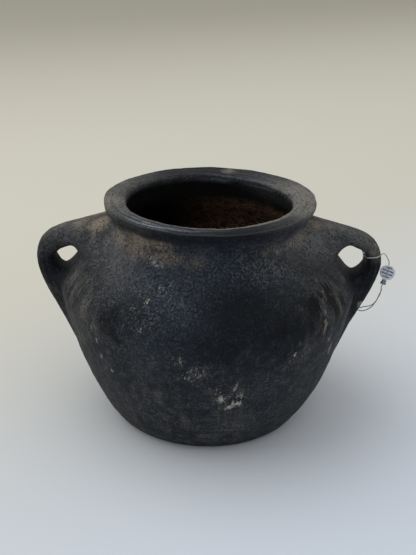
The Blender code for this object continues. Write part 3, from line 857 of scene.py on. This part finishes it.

# %% [markdown]
# ## Where the clay is marked
# Handling, smoke and burial left their marks in known places. The smoke list also holds painted shade, over
# the front of the belly, the back of the lip and the straps, and the cool tint is partly a painted reflection
# of the sky. A mark on the wall has an azimuth from the front in degrees, a height, a half width and a half
# height in millimetres, and a strength. A mark in space, such as on a handle, is a soft ball with its middle
# and radius in millimetres and its strength.

# %% List the marks
WALL_MARKS = {
    "dust": [
        (-58, 166, 24, 9, 0.66), (-42, 164, 24, 10, 0.68), (-26, 162, 22, 9, 0.56),
        (58, 165, 24, 9, 0.5), (38, 164, 22, 8, 0.42), (-8, 161, 20, 7, 0.4), (-42, 171, 22, 7, 0.85),
        (-28, 171, 18, 6, 0.75), (-140, 166, 30, 9, 0.55), (150, 166, 34, 9, 0.48),
    ],
    "crust": [
        (4.9, 73, 2.2, 5, 0.72), (6, 64, 3, 6, 0.92), (12.4, 58, 5, 3.4, 0.9), (11.3, 75, 2, 6, 0.68),
        (13.7, 67, 2.2, 6, 0.78), (10, 55, 4.2, 2.8, 0.78), (-3.4, 89, 9, 7, 0.42),
        (9, 62, 12, 12, 0.28), (-39.8, 74.7, 2.4, 1.8, 0.7), (-40.1, 139.2, 2, 1.8, 0.75),
        (-47.1, 139.1, 1.6, 3.4, 0.65), (-21.3, 145.9, 2.2, 2.2, 0.65), (-24.4, 137.5, 3, 2, 0.6),
        (33.6, 97.1, 2.2, 3.4, 0.7), (-27, 127, 4, 5, 0.46), (-24, 121, 3, 4, 0.46),
        (-31, 118, 2.4, 3, 0.46), (-10, 100, 6, 4, 0.36), (158, 70, 5, 7, 0.6), (171, 58, 4, 5, 0.55),
        (-140, 96, 4, 6, 0.55), (118, 84, 3, 5, 0.6),
    ],
    "bare": [
        (48.2, 109, 2.6, 9, 1), (58.9, 80.5, 3, 9, 1), (54.5, 95, 2.4, 7, 0.75),
        (53.5, 134.5, 2, 7, 0.65), (49.5, 123.5, 2, 7, 0.7), (59, 116, 1.8, 7, 0.65),
        (-152, 88, 2.4, 6, 0.7),
    ],
    "scrape": [
        (-34, 161.8, 2, 0.9, 0.75), (-31.6, 160.4, 2, 0.9, 0.85), (-28.9, 158.2, 1.6, 1.2, 1),
        (-26.6, 156.9, 1.8, 1, 0.95), (-24, 157.2, 2.2, 0.8, 0.75), (-46.5, 108.3, 1.1, 3.6, 0.85),
        (-44.4, 98.4, 1.1, 4, 0.85), (-44.5, 84, 1.1, 5, 0.95), (-43.9, 75, 1.1, 3.4, 0.75),
    ],
    "soot": [
        (44.7, 129, 7.5, 9, 1.2), (55.5, 127, 7, 10, 1.2), (56, 115.5, 5.5, 11, 1.2),
        (57.4, 134, 5.5, 7, 1.1), (40.2, 117, 4, 9, 1), (27.8, 121, 2.8, 7, 1),
        (34.8, 111.6, 3.6, 5, 1.2), (24.3, 107, 3, 5, 0.8), (61, 104, 5, 11, 1), (63, 122, 5, 9, 1),
        (-37, 121, 9, 12, 0.55), (-34, 108, 7, 8, 0.5), (48, 116, 3.4, 8, 0.95), (51, 133, 3, 6, 0.95),
        (45, 106, 3, 6, 0.8), (66, 110, 4, 10, 0.95), (50, 104, 7, 10, 0.6), (30, 102, 6, 6, 0.5),
        (150, 118, 8, 12, 0.8), (-162, 104, 10, 12, 0.6),
    ],
    # smoke marks, with painted shade over the front of the belly
    "smoke": [
        (14, 130, 36, 30, 1), (26, 116, 34, 28, 1), (4, 112, 30, 28, 0.8), (30, 140, 22, 16, 0.6),
        (12, 148, 26, 12, 0.5), (-36, 116, 14, 16, 0.6), (-26, 128, 12, 12, 0.6), (14, 96, 26, 18, 0.6),
        (176, 122, 40, 28, 0.9), (-128, 100, 26, 24, 0.6), (130, 70, 30, 22, 0.5),
    ],
    "wiped": [
        (-70, 130, 15, 13, 0.8), (-60, 128, 13, 16, 0.9), (-52, 122, 11, 20, 0.85),
        (-47, 111, 9, 18, 0.8), (-58, 100, 14, 22, 0.65), (60, 128, 16, 18, 0.95),
        (50, 120, 12, 20, 0.8), (40, 96, 16, 18, 0.4), (-22, 62, 30, 20, 0.36), (14, 40, 34, 18, 0.36),
        (-10, 40, 30, 16, 0.36), (-3, 88, 11, 8, 0.5), (122, 124, 16, 20, 0.8), (-118, 118, 18, 22, 0.7),
        (-170, 70, 30, 20, 0.45),
    ],
    "scratched": [
        (10.7, 27.5, 10, 3, 0.8), (14.2, 31.6, 9, 3, 0.8), (25.3, 43.5, 8, 3, 0.8),
        (34.5, 38.6, 9, 3, 0.8), (-26.2, 33.3, 8, 3, 0.9), (-28.9, 40, 7, 3, 0.8), (2, 20, 22, 5, 0.4),
        (-166, 34, 14, 4, 0.7),
    ],
    "gritty": [
        (-21, 142, 20, 14, 1), (-26, 130, 16, 16, 1), (-12, 136, 16, 10, 0.7), (-44, 136, 14, 12, 0.9),
        (-40, 92, 14, 22, 0.6), (33, 98, 14, 14, 0.6), (26, 155, 30, 10, 0.8), (9, 64, 22, 18, 0.6),
        (-3, 88, 14, 12, 0.8), (-60, 148, 22, 12, 0.8), (-20, 40, 40, 16, 0.4), (20, 34, 34, 14, 0.4),
        (160, 140, 26, 16, 0.8), (-146, 132, 22, 16, 0.7), (165, 64, 20, 18, 0.5),
    ],
    # a cool bluish tint, partly a painted reflection of the sky on the shoulder
    "cool": [
        (-28, 152, 26, 16, 1), (-10, 140, 32, 20, 1), (4, 154, 28, 16, 1), (6, 124, 36, 26, 0.8),
        (-20, 110, 26, 20, 0.5), (30, 150, 22, 14, 0.7), (-170, 146, 34, 18, 0.8),
    ],
}
SPACE_MARKS = {
    "dust": [
        (-87, -14, 167, 13, 1), (-104, -5, 164, 13, 0.72), (-118, 2, 160, 12, 0.55),
        (84, -10, 169, 12, 0.7), (98, -5, 166, 10, 0.45), (-90, 10, 170, 14, 0.8),
        (90, 14, 169, 14, 0.7), (-77, -8, 187, 24, 0.4), (79, -12, 186, 17, 0.35),
        (16, 77, 186, 9, 0.75), (-128, -6, 152, 8, 0.35), (-126, -10, 108, 10, 0.35),
        (107, -31, 131, 9, 0.42), (135, -13, 147, 10, 0.46), (-22, -74, 2, 9, 0.42),
        (-8, -76, 2, 8, 0.38),
    ],
    # painted shade on the straps and the back of the lip
    "smoke": [
        (-130, -14, 126, 20, 0.8), (-122, -14, 106, 16, 0.7), (-126, -15, 150, 10, 0.4),
        (134, -14, 120, 22, 1), (125, -15, 102, 18, 1), (138, -13, 142, 12, 0.2),
        (118, -30, 112, 14, 0.6), (-104, -22, 154, 9, 0.8), (0, 78, 187, 26, 0.5),
        (-30, 72, 187, 18, 0.4), (-126, 14, 118, 20, 0.6), (132, 15, 110, 20, 0.7),
    ],
    "bare": STRAP_CHIPS,
}
print(sum(len(marks) for marks in WALL_MARKS.values()), "marks on the wall")

# %% [markdown]
# ### Maps of the marks
# Each kind of mark is kept as a soft map with one number per vertex, and the finish breaks its edges up with
# fine noise. Besides the listed marks there are zones: ash with painted light on the shoulder's sides; pale
# dust with painted light on the lip's top and a painted highlight along the mouth's front edge; painted shade
# on the lip's front band; a painted highlight at its outer edge; and inside, painted shade that deepens
# downwards, with rust in painted light on the right. A zone is a product of soft steps, and each step gives a
# measure, the value where it is nothing and the value where it is whole.

# %% Map the marks
ON_TOP = ("up", mouth_top - 0.005, POT_HEIGHT - 0.004)
AT_SIDES = ("aside", 0.030, 0.078)
ZONES = {
    "lit": [("x", 0.0, 0.06)],
    "right": [("azimuth", -15, 35)],
    "shoulder": [("up", 0.132, 0.160), AT_SIDES],
    "neck": [("up", 0.166, 0.172)],
    # painted light on the lip's top at the sides, with its pale dust
    "lip": [ON_TOP, AT_SIDES, ("y", 0.085, 0.02)],
    "mouth": [ON_TOP, ("from_mouth", 0.001, 0.003), ("from_mouth", 0.0075, 0.0048), ("y", 0.01, -0.03)],
    "edge": [ON_TOP, ("from_mouth", 0.0065, 0.0090), ("from_rim", 0.0010, 0.0040)],
    "band": [("from_mouth", 0.0055, 0.0080), ("up", 0.175, 0.182), ("y", -0.015, -0.055)],
    "back": [("y", 0.02, 0.05), ("x", -0.04, 0.03), ("up", 0.176, 0.180)],
    # rust with painted light, on the lit right inner wall
    "rust": [("x", -0.045, 0.035), ("up", 0.05, 0.11), ("up", 0.166, 0.152)],
    "lined": [("up", 0.176, 0.183)],
    "low": [("up", 0.14, 0.09)],
}
LIT_NECK = 1.4
DEEP_FADE = (0.002, 0.009)
NECK_DROP = 0.6
LIP_MIDDLE = (RIM_RADIUS + MOUTH_RADIUS) / 2
LIP_HALF = (RIM_RADIUS - MOUTH_RADIUS) / 2
LEFT_LIP, LEFT_LEAN = 0.75, 0.25
RIGHT_LIP, RIGHT_LEAN = 1.40, 0.35
MOUTH_HIGHLIGHT, MOUTH_HIGHLIGHT_RIGHT = 0.85, 0.75
# painted highlight along the lip's outer edge, strongest at the front left
SHINE_AZIMUTH, SHINE_SPREAD, SHINE_LEAST = -32.0, 24.0, 0.04
BACK_SHINE, BACK_MIDDLE, BACK_SPREAD = 0.3, 0.0015, 0.002
LIP_LINED, STRAP_LINED = 0.7, 0.45
BAND_SMOOTH, BAND_DARK = 0.7, 0.85
# the streak colour laid thinly over the low belly, lighter towards the bottom
LOW_PALING = 0.2
UPRIGHT_RADIUS = 0.1


def bell(value, middle, spread):
    """1 at the middle, falling off as exp(-distance squared), with distance counted in spreads."""
    return np.exp(-(((value - middle) / spread) ** 2))


def mark(piece):
    """Keeps the maps of all marks on one clay piece."""
    points = places(piece)
    x, y, up = points.T
    out = np.hypot(x, y)
    at = {"x": x, "y": y, "up": up, "aside": np.abs(x), "azimuth": np.degrees(np.arctan2(x, -y))}
    at |= {"from_mouth": out - MOUTH_RADIUS, "from_rim": RIM_RADIUS - out}
    zone = {name: math.prod(ease(at[key], *ends) for key, *ends in steps) for name, steps in ZONES.items()}
    inside = (out < wall_radius(up) - WALL / 2) & (up < mouth_top)
    # painted shade: the inside darkens below the mouth, more slowly on the lit right side
    deep = inside * ease((mouth_top - up) / (1 + LIT_NECK * zone["lit"]), *DEEP_FADE)
    # the lip's top: pale dust with painted light on its lit half, and a painted highlight along the mouth's
    # front edge, brighter on the right
    lean = np.clip(-np.sign(x) * (out - LIP_MIDDLE) / LIP_HALF, -1, 1)
    lip_top_dust_and_light = zone["lip"] * np.where(x < 0, LEFT_LIP + LEFT_LEAN * lean, RIGHT_LIP + RIGHT_LEAN * lean)
    mouth_highlight = zone["mouth"] * (MOUTH_HIGHLIGHT + MOUTH_HIGHLIGHT_RIGHT * zone["right"])
    # painted highlight on the lip's outer edge by azimuth, and on the back of the mouth's roll
    highlight_side = SHINE_LEAST + (1 - SHINE_LEAST) * bell(at["azimuth"], SHINE_AZIMUTH, SHINE_SPREAD)
    back_roll_highlight = BACK_SHINE * bell(at["from_mouth"], BACK_MIDDLE, BACK_SPREAD) * zone["back"]
    maps = {name: spots(points, marks) for name, marks in WALL_MARKS.items()}
    for name, marks in SPACE_MARKS.items():
        maps[name] = np.maximum(maps[name], chips(points, marks))
    # painted shade on the lip's front band
    maps["smoke"] = np.maximum(maps["smoke"], zone["band"])
    # the streak colour laid thinly over the low belly, lighter towards the bottom
    maps["wiped"] = np.maximum(maps["wiped"], LOW_PALING * zone["low"])
    # ash with painted light: the shoulder's sides paler where they catch light
    maps["ash"] = zone["shoulder"] * (1 - NECK_DROP * zone["neck"])
    maps["lip"] = np.maximum(lip_top_dust_and_light * (1 - BAND_DARK * zone["band"]), mouth_highlight)
    maps = {name: values * (1 - deep) for name, values in maps.items()}
    # painted shade inside, and rust with painted light on the right inner wall
    maps |= {"deep": deep, "rust": deep * zone["rust"], "lined": np.full(len(up), STRAP_LINED)}
    maps["sheen"] = np.maximum(zone["edge"] * highlight_side, back_roll_highlight)
    maps["upright"] = np.column_stack([points[:, :2] * (UPRIGHT_RADIUS / np.maximum(out, TINY))[:, None], up])
    if piece is vessel:
        maps["lined"] = LIP_LINED * zone["lined"] * (1 - BAND_SMOOTH * zone["band"])
        maps["brushed"] = np.stack([out + BRUSH_DRAW * x, BRUSH_DRAW * y, up], axis=1)
    for name, values in maps.items():
        paint(piece, name, values)


for piece in (vessel, right_handle, left_handle):
    mark(piece)
    print(piece.name, "carries", len(piece.data.attributes), "maps and mesh layers")

# %% [markdown]
# ## Helpers for finishes
# A finish is a small graph of nodes. These helpers add one node each, set its sockets from values or from
# other nodes, and give back its output, so a finish reads like a sum.

# %% Make short names for nodes
OBJECT_PLACE = 3
AS_VECTOR, AS_NUMBER = 1, 2
MIX_SHARE, MIX_UNDER, MIX_OVER, MIX_RESULT = 0, 6, 7, 2


def fill(tree, item, sockets):
    """Fills a node's sockets with values, or with links from other nodes."""
    for key, value in sockets.items():
        if isinstance(value, bpy.types.NodeSocket):
            tree.links.new(value, item.inputs[key])
        else:
            item.inputs[key].default_value = value


def node(tree, kind, sockets=None, output=0, **settings):
    """Adds a node, sets its settings, fills its sockets and gives back one output."""
    item = tree.nodes.new(kind)
    for key, value in settings.items():
        setattr(item, key, value)
    fill(tree, item, sockets or {})
    return item.outputs[output]


def maths(tree, operation, first, second):
    """One sum of two values."""
    return node(tree, "ShaderNodeMath", {0: first, 1: second}, operation=operation)


def span(tree, value, low, high, to_low=0.0, to_high=1.0):
    """A smoothstep from one range to another."""
    sockets = {"Value": value, "From Min": low, "From Max": high, "To Min": to_low, "To Max": to_high}
    return node(tree, "ShaderNodeMapRange", sockets, interpolation_type="SMOOTHSTEP")


def tint(tree, share, under, over):
    """One colour laid over another by a share from 0 to 1."""
    under, over = ((*colour, 1.0) if isinstance(colour, tuple) else colour for colour in (under, over))
    sockets = {MIX_SHARE: share, MIX_UNDER: under, MIX_OVER: over}
    return node(tree, "ShaderNodeMix", sockets, MIX_RESULT, data_type="RGBA")


def painted(tree, name, output=AS_NUMBER):
    """One of the maps kept on the vertices."""
    return node(tree, "ShaderNodeAttribute", output=output, attribute_name=name)


def grain(tree, scale, detail=4.0, roughness=0.55, stretch=None, where=None):
    """Noise on the piece's own coordinates, in metres, or on a map of places, so that scale counts features
    per metre. A stretch squeezes the coordinates along an axis, which draws the noise out into streaks."""
    if where:
        place = painted(tree, where, AS_VECTOR)
    else:
        place = node(tree, "ShaderNodeTexCoord", output=OBJECT_PLACE)
    if stretch:
        place = node(tree, "ShaderNodeMapping", {"Vector": place, "Scale": stretch})
    sockets = {"Vector": place, "Scale": scale, "Detail": detail, "Roughness": roughness}
    return node(tree, "ShaderNodeTexNoise", sockets)


def new_finish(name):
    """An empty material with its Principled shader."""
    material = bpy.data.materials.new(name)
    material.use_nodes = True
    return material, material.node_tree, material.node_tree.nodes["Principled BSDF"]


# %% [markdown]
# ## The clay's finish
# Smoke-fired clay is charcoal with cloudy grey, matte, and full of fine grit. On top of that come the marks,
# from the widest to the smallest, and painted light and shade among them. A map plus noise, cut off at a
# level, gives each mark a crisp ragged edge as a real flake or stain has. The same noise also drives the
# bumps.
# A noise has its scale, detail and roughness, then its stretch and the map it lies on. A blend is two noises
# with their shares.

# %% Make the noises
NOISES = {
    "cloud": (26, 8, 0.62),
    "mottle": (150, 5, 0.6),
    "sand": (560, 3, 0.6),
    "grit": (1200, 2, 0.5),
    "flake": (620, 4, 0.7),
    "hairs": (620, 2, 0.5, (0.06, 0.06, 1.0)),
    "fibres": (430, 4, 0.65, (1.0, 1.0, 0.30), "upright"),
    "streaks": (170, 5, 0.68, (1.0, 1.0, 0.14), "upright"),
    "strokes": (560, 3, 0.5, None, "brushed"),
}
BLENDS = {
    "patchy": ("cloud", 1.0, "mottle", 0.5),
    "flecked": ("flake", 1.0, "mottle", 0.6),
    "frayed": ("fibres", 0.6, "flake", 0.4),
    "crumbs": ("fibres", 0.55, "grit", 0.45),
}
NOISE_MIDDLE = 0.5
MAP_FADE = (0.02, 0.15)

clay, tree, shader = new_finish("smoke_fired_clay")
noises = {name: grain(tree, *settings) for name, settings in NOISES.items()}
masks = {}


def part_of(first, second):
    """The share that two masks have in common."""
    return maths(tree, "MULTIPLY", first, second)


def ragged(name, noise, level, reach, edge):
    """A map's mask with a ragged edge: the map plus noise about its middle, cut off at a level, and nothing
    where the map has nothing."""
    rough = part_of(maths(tree, "SUBTRACT", noises[noise], NOISE_MIDDLE), reach)
    mask = span(tree, maths(tree, "ADD", painted(tree, name), rough), level - edge, level + edge)
    return part_of(mask, span(tree, painted(tree, name), *MAP_FADE))


def lay(under, name, over, share, edge, *thinned):
    """Lays a mark's colour over what is under it. Its map, ragged by a noise, level, reach and edge or left
    soft, is kept as its mask. That counts by a share and is thinned by spans of noise."""
    mask = masks[name] = ragged(name, *edge) if edge else painted(tree, name)
    for noise, *levels in thinned:
        mask = part_of(mask, span(tree, noises[noise], *levels))
    return tint(tree, part_of(mask, share), under, over)


for name, (first, share, second, other_share) in BLENDS.items():
    noises[name] = maths(tree, "ADD", part_of(noises[first], share), part_of(noises[second], other_share))
print(len(noises), "noises for", clay.name)

# %% [markdown]
# ### The plain clay
# Charcoal and cloudy grey come first. Smoke with painted shade, ash with painted light, the pale lip with
# painted light and highlight, and a cool tint that is partly a painted reflection of the sky lie on them,
# each by its own map. The inside darkens downwards in painted shade, with rusty flecks in painted light on
# the right.

# %% Mix the plain clay
CHARCOAL = (0.0070, 0.0102, 0.0148)
CLOUD_GREY = (0.0340, 0.0375, 0.0430)
# smoke black, also the colour of painted shade
SMOKE_AND_SHADE_BLACK = (0.0028, 0.0050, 0.0090)
# ash grey, also painted light on the shoulder's sides
ASH_AND_LIGHT_GREY = (0.120, 0.121, 0.120)
# pale dust on the lip's top, also painted light and a painted highlight
LIP_DUST_AND_LIGHT = (0.190, 0.180, 0.160)
# cool tint, partly a painted reflection of the sky
COOL_TINT_AND_SKYLIGHT = (0.0215, 0.0325, 0.0500)
# painted shade inside the pot
DEPTH_SHADE_BLACK = (0.0060, 0.0054, 0.0050)
# rust colour, also painted light on the right inner wall
RUST_AND_LIGHT = (0.56, 0.335, 0.205)
CLOUDED = (0.60, 0.92)

colour = tint(tree, span(tree, noises["patchy"], *CLOUDED), CHARCOAL, CLOUD_GREY)
for layer in (
    ("cool", COOL_TINT_AND_SKYLIGHT, 0.75, None),
    # smoke and painted shade
    ("smoke", SMOKE_AND_SHADE_BLACK, 0.94, ("cloud", 0.45, 1.2, 0.45)),
    ("ash", ASH_AND_LIGHT_GREY, 1.0, None, ("patchy", 0.55, 0.95, 0.30, 1.0)),
    ("lip", LIP_DUST_AND_LIGHT, 1.0, None, ("patchy", 0.50, 0.90, 0.45, 1.0)),
    ("deep", DEPTH_SHADE_BLACK, 1.0, None),
    ("rust", RUST_AND_LIGHT, 1.0, None, ("flecked", 0.64, 0.94)),
):
    colour = lay(colour, *layer)
print(clay.name, "starts with", len(tree.nodes), "nodes")

# %% [markdown]
# ### The grain of the clay
# Close to, the skin is a field of tiny pits and crests. Painted shade darkens the pits and a painted
# highlight pales the crests where the inside's painted shade doesn't lie, so one noise sets the colour here
# and the bumps further down. Where much grit came to the surface, the crests are paler. Strokes of a wet
# cloth run round the lip and along the straps.

# %% Lay the grain on the clay
# painted shade in the pits and painted highlight on the crests
PIT_BLACK = (0.0035, 0.0046, 0.0060)
CREST_HIGHLIGHT_GREY = (0.105, 0.112, 0.120)
SPECK_PALE = (0.27, 0.26, 0.24)
STROKE_GREY = (0.085, 0.090, 0.098)
UNEVEN = (0.36, 0.60, 0.35, 1.0)
PITS, PIT_SHARE = (0.53, 0.38), 0.82
CRESTS = (0.50, 0.63)
PLAIN_CRESTS, GRITTY_CRESTS = 0.22, 0.40
SMOKE_AND_SHADE_CRESTS = (0.2, 0.9, 1.0, 0.35)
PALE_STROKES = (0.52, 0.66, 0.0, 0.30)
DARK_STROKES = (0.48, 0.34, 0.0, 0.50)

in_light = maths(tree, "SUBTRACT", 1.0, masks["deep"])
uneven = span(tree, noises["mottle"], *UNEVEN)
# painted shade darkens the pits with the bump noise, and a painted highlight pales the lit crests
pits = part_of(span(tree, noises["sand"], *PITS), uneven)
lit_crests = part_of(span(tree, noises["sand"], *CRESTS), part_of(uneven, in_light))
crested = maths(tree, "ADD", part_of(painted(tree, "gritty"), GRITTY_CRESTS), PLAIN_CRESTS)
crested = part_of(crested, span(tree, painted(tree, "smoke"), *SMOKE_AND_SHADE_CRESTS))
colour = tint(tree, part_of(pits, PIT_SHARE), colour, PIT_BLACK)
colour = tint(tree, part_of(lit_crests, crested), colour, CREST_HIGHLIGHT_GREY)
colour = lay(colour, "gritty", SPECK_PALE, 0.75, ("mottle", 0.55, 2.0, 0.25), ("flake", 0.60, 0.68))
stroked = part_of(painted(tree, "lined"), in_light)
for levels, over in ((PALE_STROKES, STROKE_GREY), (DARK_STROKES, PIT_BLACK)):
    colour = tint(tree, part_of(stroked, span(tree, noises["strokes"], *levels)), colour, over)
print(clay.name, "with its grain has", len(tree.nodes), "nodes")

# %% [markdown]
# ### The marks on the clay
# Dust and streaks lie thinly, so grain shows through them. Soot, chips and crust cover what is under them.
# They go on from the widest to the smallest. Among them a blue-grey painted highlight lies along the lip's
# outer edge at the front left and on the back of the mouth's roll.

# %% Lay the marks over the clay
STREAK = (0.120, 0.111, 0.097)
TAN_DUST = (0.260, 0.212, 0.160)
SOOT_BLACK = (0.0036, 0.0038, 0.0042)
SCRATCH_GREY = (0.14, 0.145, 0.15)
# colour of the painted highlight on the lip's edge
PAINTED_HIGHLIGHT_BLUE = (0.210, 0.240, 0.290)
BLUE_GREY = (0.24, 0.28, 0.38)
BARE_CLAY = (0.200, 0.160, 0.118)
CRUST_PALE = (0.42, 0.395, 0.345)
THIN_STREAKS = ("streaks", 0.42, 0.60, 0.10, 1.0)
SANDY = ("sand", 0.36, 0.56, 0.40, 1.0)

for layer in (
    ("wiped", STREAK, 1.0, ("mottle", 0.40, 1.0, 0.35), THIN_STREAKS, ("flake", 0.38, 0.58, 0.10, 0.85)),
    ("dust", TAN_DUST, 1.0, ("patchy", 0.74, 0.7, 0.36), ("sand", 0.34, 0.58, 0.25, 0.95)),
    ("soot", SOOT_BLACK, 0.92, ("frayed", 0.58, 5.0, 0.06)),
    ("scratched", SCRATCH_GREY, 0.85, None, ("hairs", 0.55, 0.62), ("flake", 0.44, 0.54)),
    # painted highlight along the lip's edge
    ("sheen", PAINTED_HIGHLIGHT_BLUE, 1.0, None, ("strokes", 0.44, 0.60, 0.08, 1.0), ("flake", 0.40, 0.55, 0.4, 1.0)),
    ("scrape", BLUE_GREY, 0.80, ("flake", 0.52, 2.8, 0.10)),
    ("bare", BARE_CLAY, 1.0, ("fibres", 0.50, 2.2, 0.08), SANDY),
    ("crust", CRUST_PALE, 1.0, ("crumbs", 0.60, 4.2, 0.12), SANDY),
):
    colour = lay(colour, *layer)
print(clay.name, "with its marks has", len(tree.nodes), "nodes")

# %% [markdown]
# ### The gloss and the bumps
# Where the highlight is painted along the lip's edge the gloss is raised as well, and dust takes the shine
# away. The grain is only bumps in the shading, since it is finer than the mesh.

# %% Set the gloss and the bumps
DULL_LEVEL = 0.13
CLOUDY_GLOSS = (0.3, 0.7, 0.52, 0.66)
# the gloss is raised where the highlight is painted
HIGHLIGHT_GLOSS, DUST_DULLS = 0.30, 0.25
BUMP_HEIGHT = 0.0015
BUMPS = {"mottle": 0.8, "sand": 0.8, "grit": 0.30, "lines": 0.4, "crust": 0.4, "hollows": -0.4}

worn = span(tree, noises["cloud"], *CLOUDY_GLOSS)
worn = maths(tree, "SUBTRACT", worn, part_of(masks["sheen"], HIGHLIGHT_GLOSS))
worn = maths(tree, "ADD", worn, part_of(masks["dust"], DUST_DULLS))
lines = part_of(noises["strokes"], painted(tree, "lined"))
hollows = maths(tree, "MAXIMUM", masks["bare"], masks["soot"])
raised = {**noises, "lines": lines, "crust": masks["crust"], "hollows": hollows}
height = 0.0
for name, share in BUMPS.items():
    height = maths(tree, "ADD", height, part_of(raised[name], share))
bump = node(tree, "ShaderNodeBump", {"Height": height, "Strength": 1.0, "Distance": BUMP_HEIGHT})
fill(tree, shader, {"Base Color": colour, "Roughness": worn, "Normal": bump})
shader.inputs["Specular IOR Level"].default_value = DULL_LEVEL
for piece in (vessel, right_handle, left_handle):
    piece.data.materials.append(clay)
print(clay.name, "has", len(tree.nodes), "nodes")

# %% [markdown]
# ## The metals' finish
# Drawn steel wire dulls to a soft grey. Lead goes blue-grey where it is touched and nearly black in the
# hollows of the press mark, where dirt stays. Both are metals with a rough, uneven gloss.

# %% Mix the metals
STEEL, STEEL_DARK = (0.52, 0.52, 0.53), (0.30, 0.295, 0.29)
LEAD, LEAD_DARK = (0.60, 0.645, 0.75), (0.16, 0.17, 0.20)
SLEEVE, SLEEVE_DARK = (0.34, 0.355, 0.385), (0.10, 0.10, 0.11)
ROUGH_CUT = (0.3, 0.7)
HOLLOW_DIRT = (0.25, 0.6, 0.5, 1.0)
PIT_STRENGTH, PIT_DEPTH = 0.4, 0.0002


def metal(name, scale, bright, dull, stain, roughness, metallic, pressed=False):
    """A dulled metal: one noise sets where it is stained and how rough it is. A pressed one also keeps dirt
    in its hollows, by the larger of both stains, and is finely pitted."""
    material, tree, shader = new_finish(name)
    spotty = grain(tree, scale)
    stained = span(tree, spotty, *stain)
    if pressed:
        dirty = maths(tree, "MULTIPLY", painted(tree, "hollow"), span(tree, spotty, *HOLLOW_DIRT))
        stained = maths(tree, "MAXIMUM", dirty, stained)
        pits = {"Height": spotty, "Strength": PIT_STRENGTH, "Distance": PIT_DEPTH}
        fill(tree, shader, {"Normal": node(tree, "ShaderNodeBump", pits)})
    rough = span(tree, spotty, *ROUGH_CUT, *roughness)
    colour = tint(tree, stained, bright, dull)
    fill(tree, shader, {"Base Color": colour, "Roughness": rough, "Metallic": metallic})
    return material


for pieces, settings in (
    ([loop_wire, tail_wire], ("dulled_steel", 700, STEEL, STEEL_DARK, (0.4, 0.7), (0.40, 0.60), 1.0)),
    ([seal], ("pressed_lead", 900, LEAD, LEAD_DARK, (0.5, 0.7, 0.0, 0.5), (0.42, 0.66), 0.4, True)),
    ([ferrule], ("crimped_dark_lead", 900, SLEEVE, SLEEVE_DARK, (0.35, 0.7), (0.45, 0.7), 0.9)),
):
    finish = metal(*settings)
    for piece in pieces:
        piece.data.materials.append(finish)
        print(piece.name, "is", finish.name)

# %% [markdown]
# ## Joining the looks to the frame
# Each piece takes the place of the solid it shows and rides on that solid's body, so it moves when the joint
# moves. The wires, the seal and the ferrule ride together on the seal tag's body.

# %% Join the pieces to the bodies
for piece, body, solid, slot in (
    (vessel, "pot", "pot_body", "body_clay"),
    (right_handle, "pot", "right_handle", "right_handle_clay"),
    (left_handle, "pot", "left_handle", "left_handle_clay"),
    (loop_wire, "seal_tag", "seal_wire", "wire"),
    (tail_wire, "seal_tag", "wire_tail", "wire"),
    (seal, "seal_tag", "lead_seal", "seal"),
    (ferrule, "seal_tag", "wire_ferrule", "ferrule"),
):
    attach(piece, body)
    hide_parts(solid)
print("cords of", round(loop_length, 4), "and", round(tail_length, 4), "metres")

# %% [markdown]
# ## The stage
# The pot stands on a pale floor whose colour holds painted light, cooler near by and warmer far off, and
# painted shade that darkens it furthest off. One large soft light hangs at the upper left, and a dim even
# surround fills the shadows.

# %% Set the stage
FLOOR_SIZE = 14.0
# floor colours with painted light: cool near by, warm far off, painted shade furthest off
FLOOR_NEAR = (0.61, 0.665, 0.745)
FLOOR_FAR = (0.60, 0.58, 0.50)
FLOOR_FARTHEST_SHADE = (0.40, 0.385, 0.31)
FLOOR_LEAN = 0.8
FLOOR_WARMS, FLOOR_FADES = (-0.35, 0.45), (0.5, 3.4)
FLOOR_ROUGHNESS, FLOOR_GLOSS = 0.9, 0.2
SURROUND = (0.75, 0.75, 0.75)
PALE_SKY = (0.50, 0.49, 0.45)
KEY_PLACE = Vector((-1.50, 0.25, 2.40))
KEY_TARGET = Vector((0.0, 0.0, 0.08))
KEY_SIZE = 3.6
KEY_POWER = 37.0
KEY_COLOUR = (0.97, 0.985, 1.0)

half = FLOOR_SIZE / 2
corners = [(-half, -half, 0), (half, -half, 0), (half, half, 0), (-half, half, 0)]
floor_mesh = bpy.data.meshes.new("pale_floor")
floor_mesh.from_pydata(corners, [], [(0, 1, 2, 3)])
floor = bpy.data.objects.new("pale_floor", floor_mesh)
scene.collection.objects.link(floor)
pale, tree, shader = new_finish("pale_floor")
here = node(tree, "ShaderNodeTexCoord", output=OBJECT_PLACE)
aside, far_off = (node(tree, "ShaderNodeSeparateXYZ", {0: here}, output) for output in ("X", "Y"))
warm = maths(tree, "SUBTRACT", far_off, maths(tree, "MULTIPLY", aside, FLOOR_LEAN))
# painted light and painted shade across the floor
colour = tint(tree, span(tree, warm, *FLOOR_WARMS), FLOOR_NEAR, FLOOR_FAR)
colour = tint(tree, span(tree, warm, *FLOOR_FADES), colour, FLOOR_FARTHEST_SHADE)
gloss = {"Roughness": FLOOR_ROUGHNESS, "Specular IOR Level": FLOOR_GLOSS}
fill(tree, shader, {"Base Color": colour, **gloss})
floor_mesh.materials.append(pale)

key = bpy.data.objects.new("soft_key", bpy.data.lights.new("soft_key", "AREA"))
key.data.shape = "DISK"
key.data.size = KEY_SIZE
key.data.energy = KEY_POWER
key.data.color = KEY_COLOUR
key.location = KEY_PLACE
key.rotation_euler = (KEY_TARGET - KEY_PLACE).to_track_quat("-Z", "Y").to_euler()
scene.collection.objects.link(key)

world = bpy.data.worlds.new("even_surround")
world.use_nodes = True
scene.world = world
tree = world.node_tree
path = tree.nodes.new("ShaderNodeLightPath")
mirrored = maths(tree, "MAXIMUM", path.outputs["Is Glossy Ray"], path.outputs["Is Transmission Ray"])
seen = maths(tree, "MAXIMUM", path.outputs["Is Camera Ray"], mirrored)
fill(tree, tree.nodes["Background"], {"Color": tint(tree, seen, SURROUND, PALE_SKY)})
scene.view_settings.view_transform = "Standard"
print("stage set with one key light of", KEY_POWER, "watts")
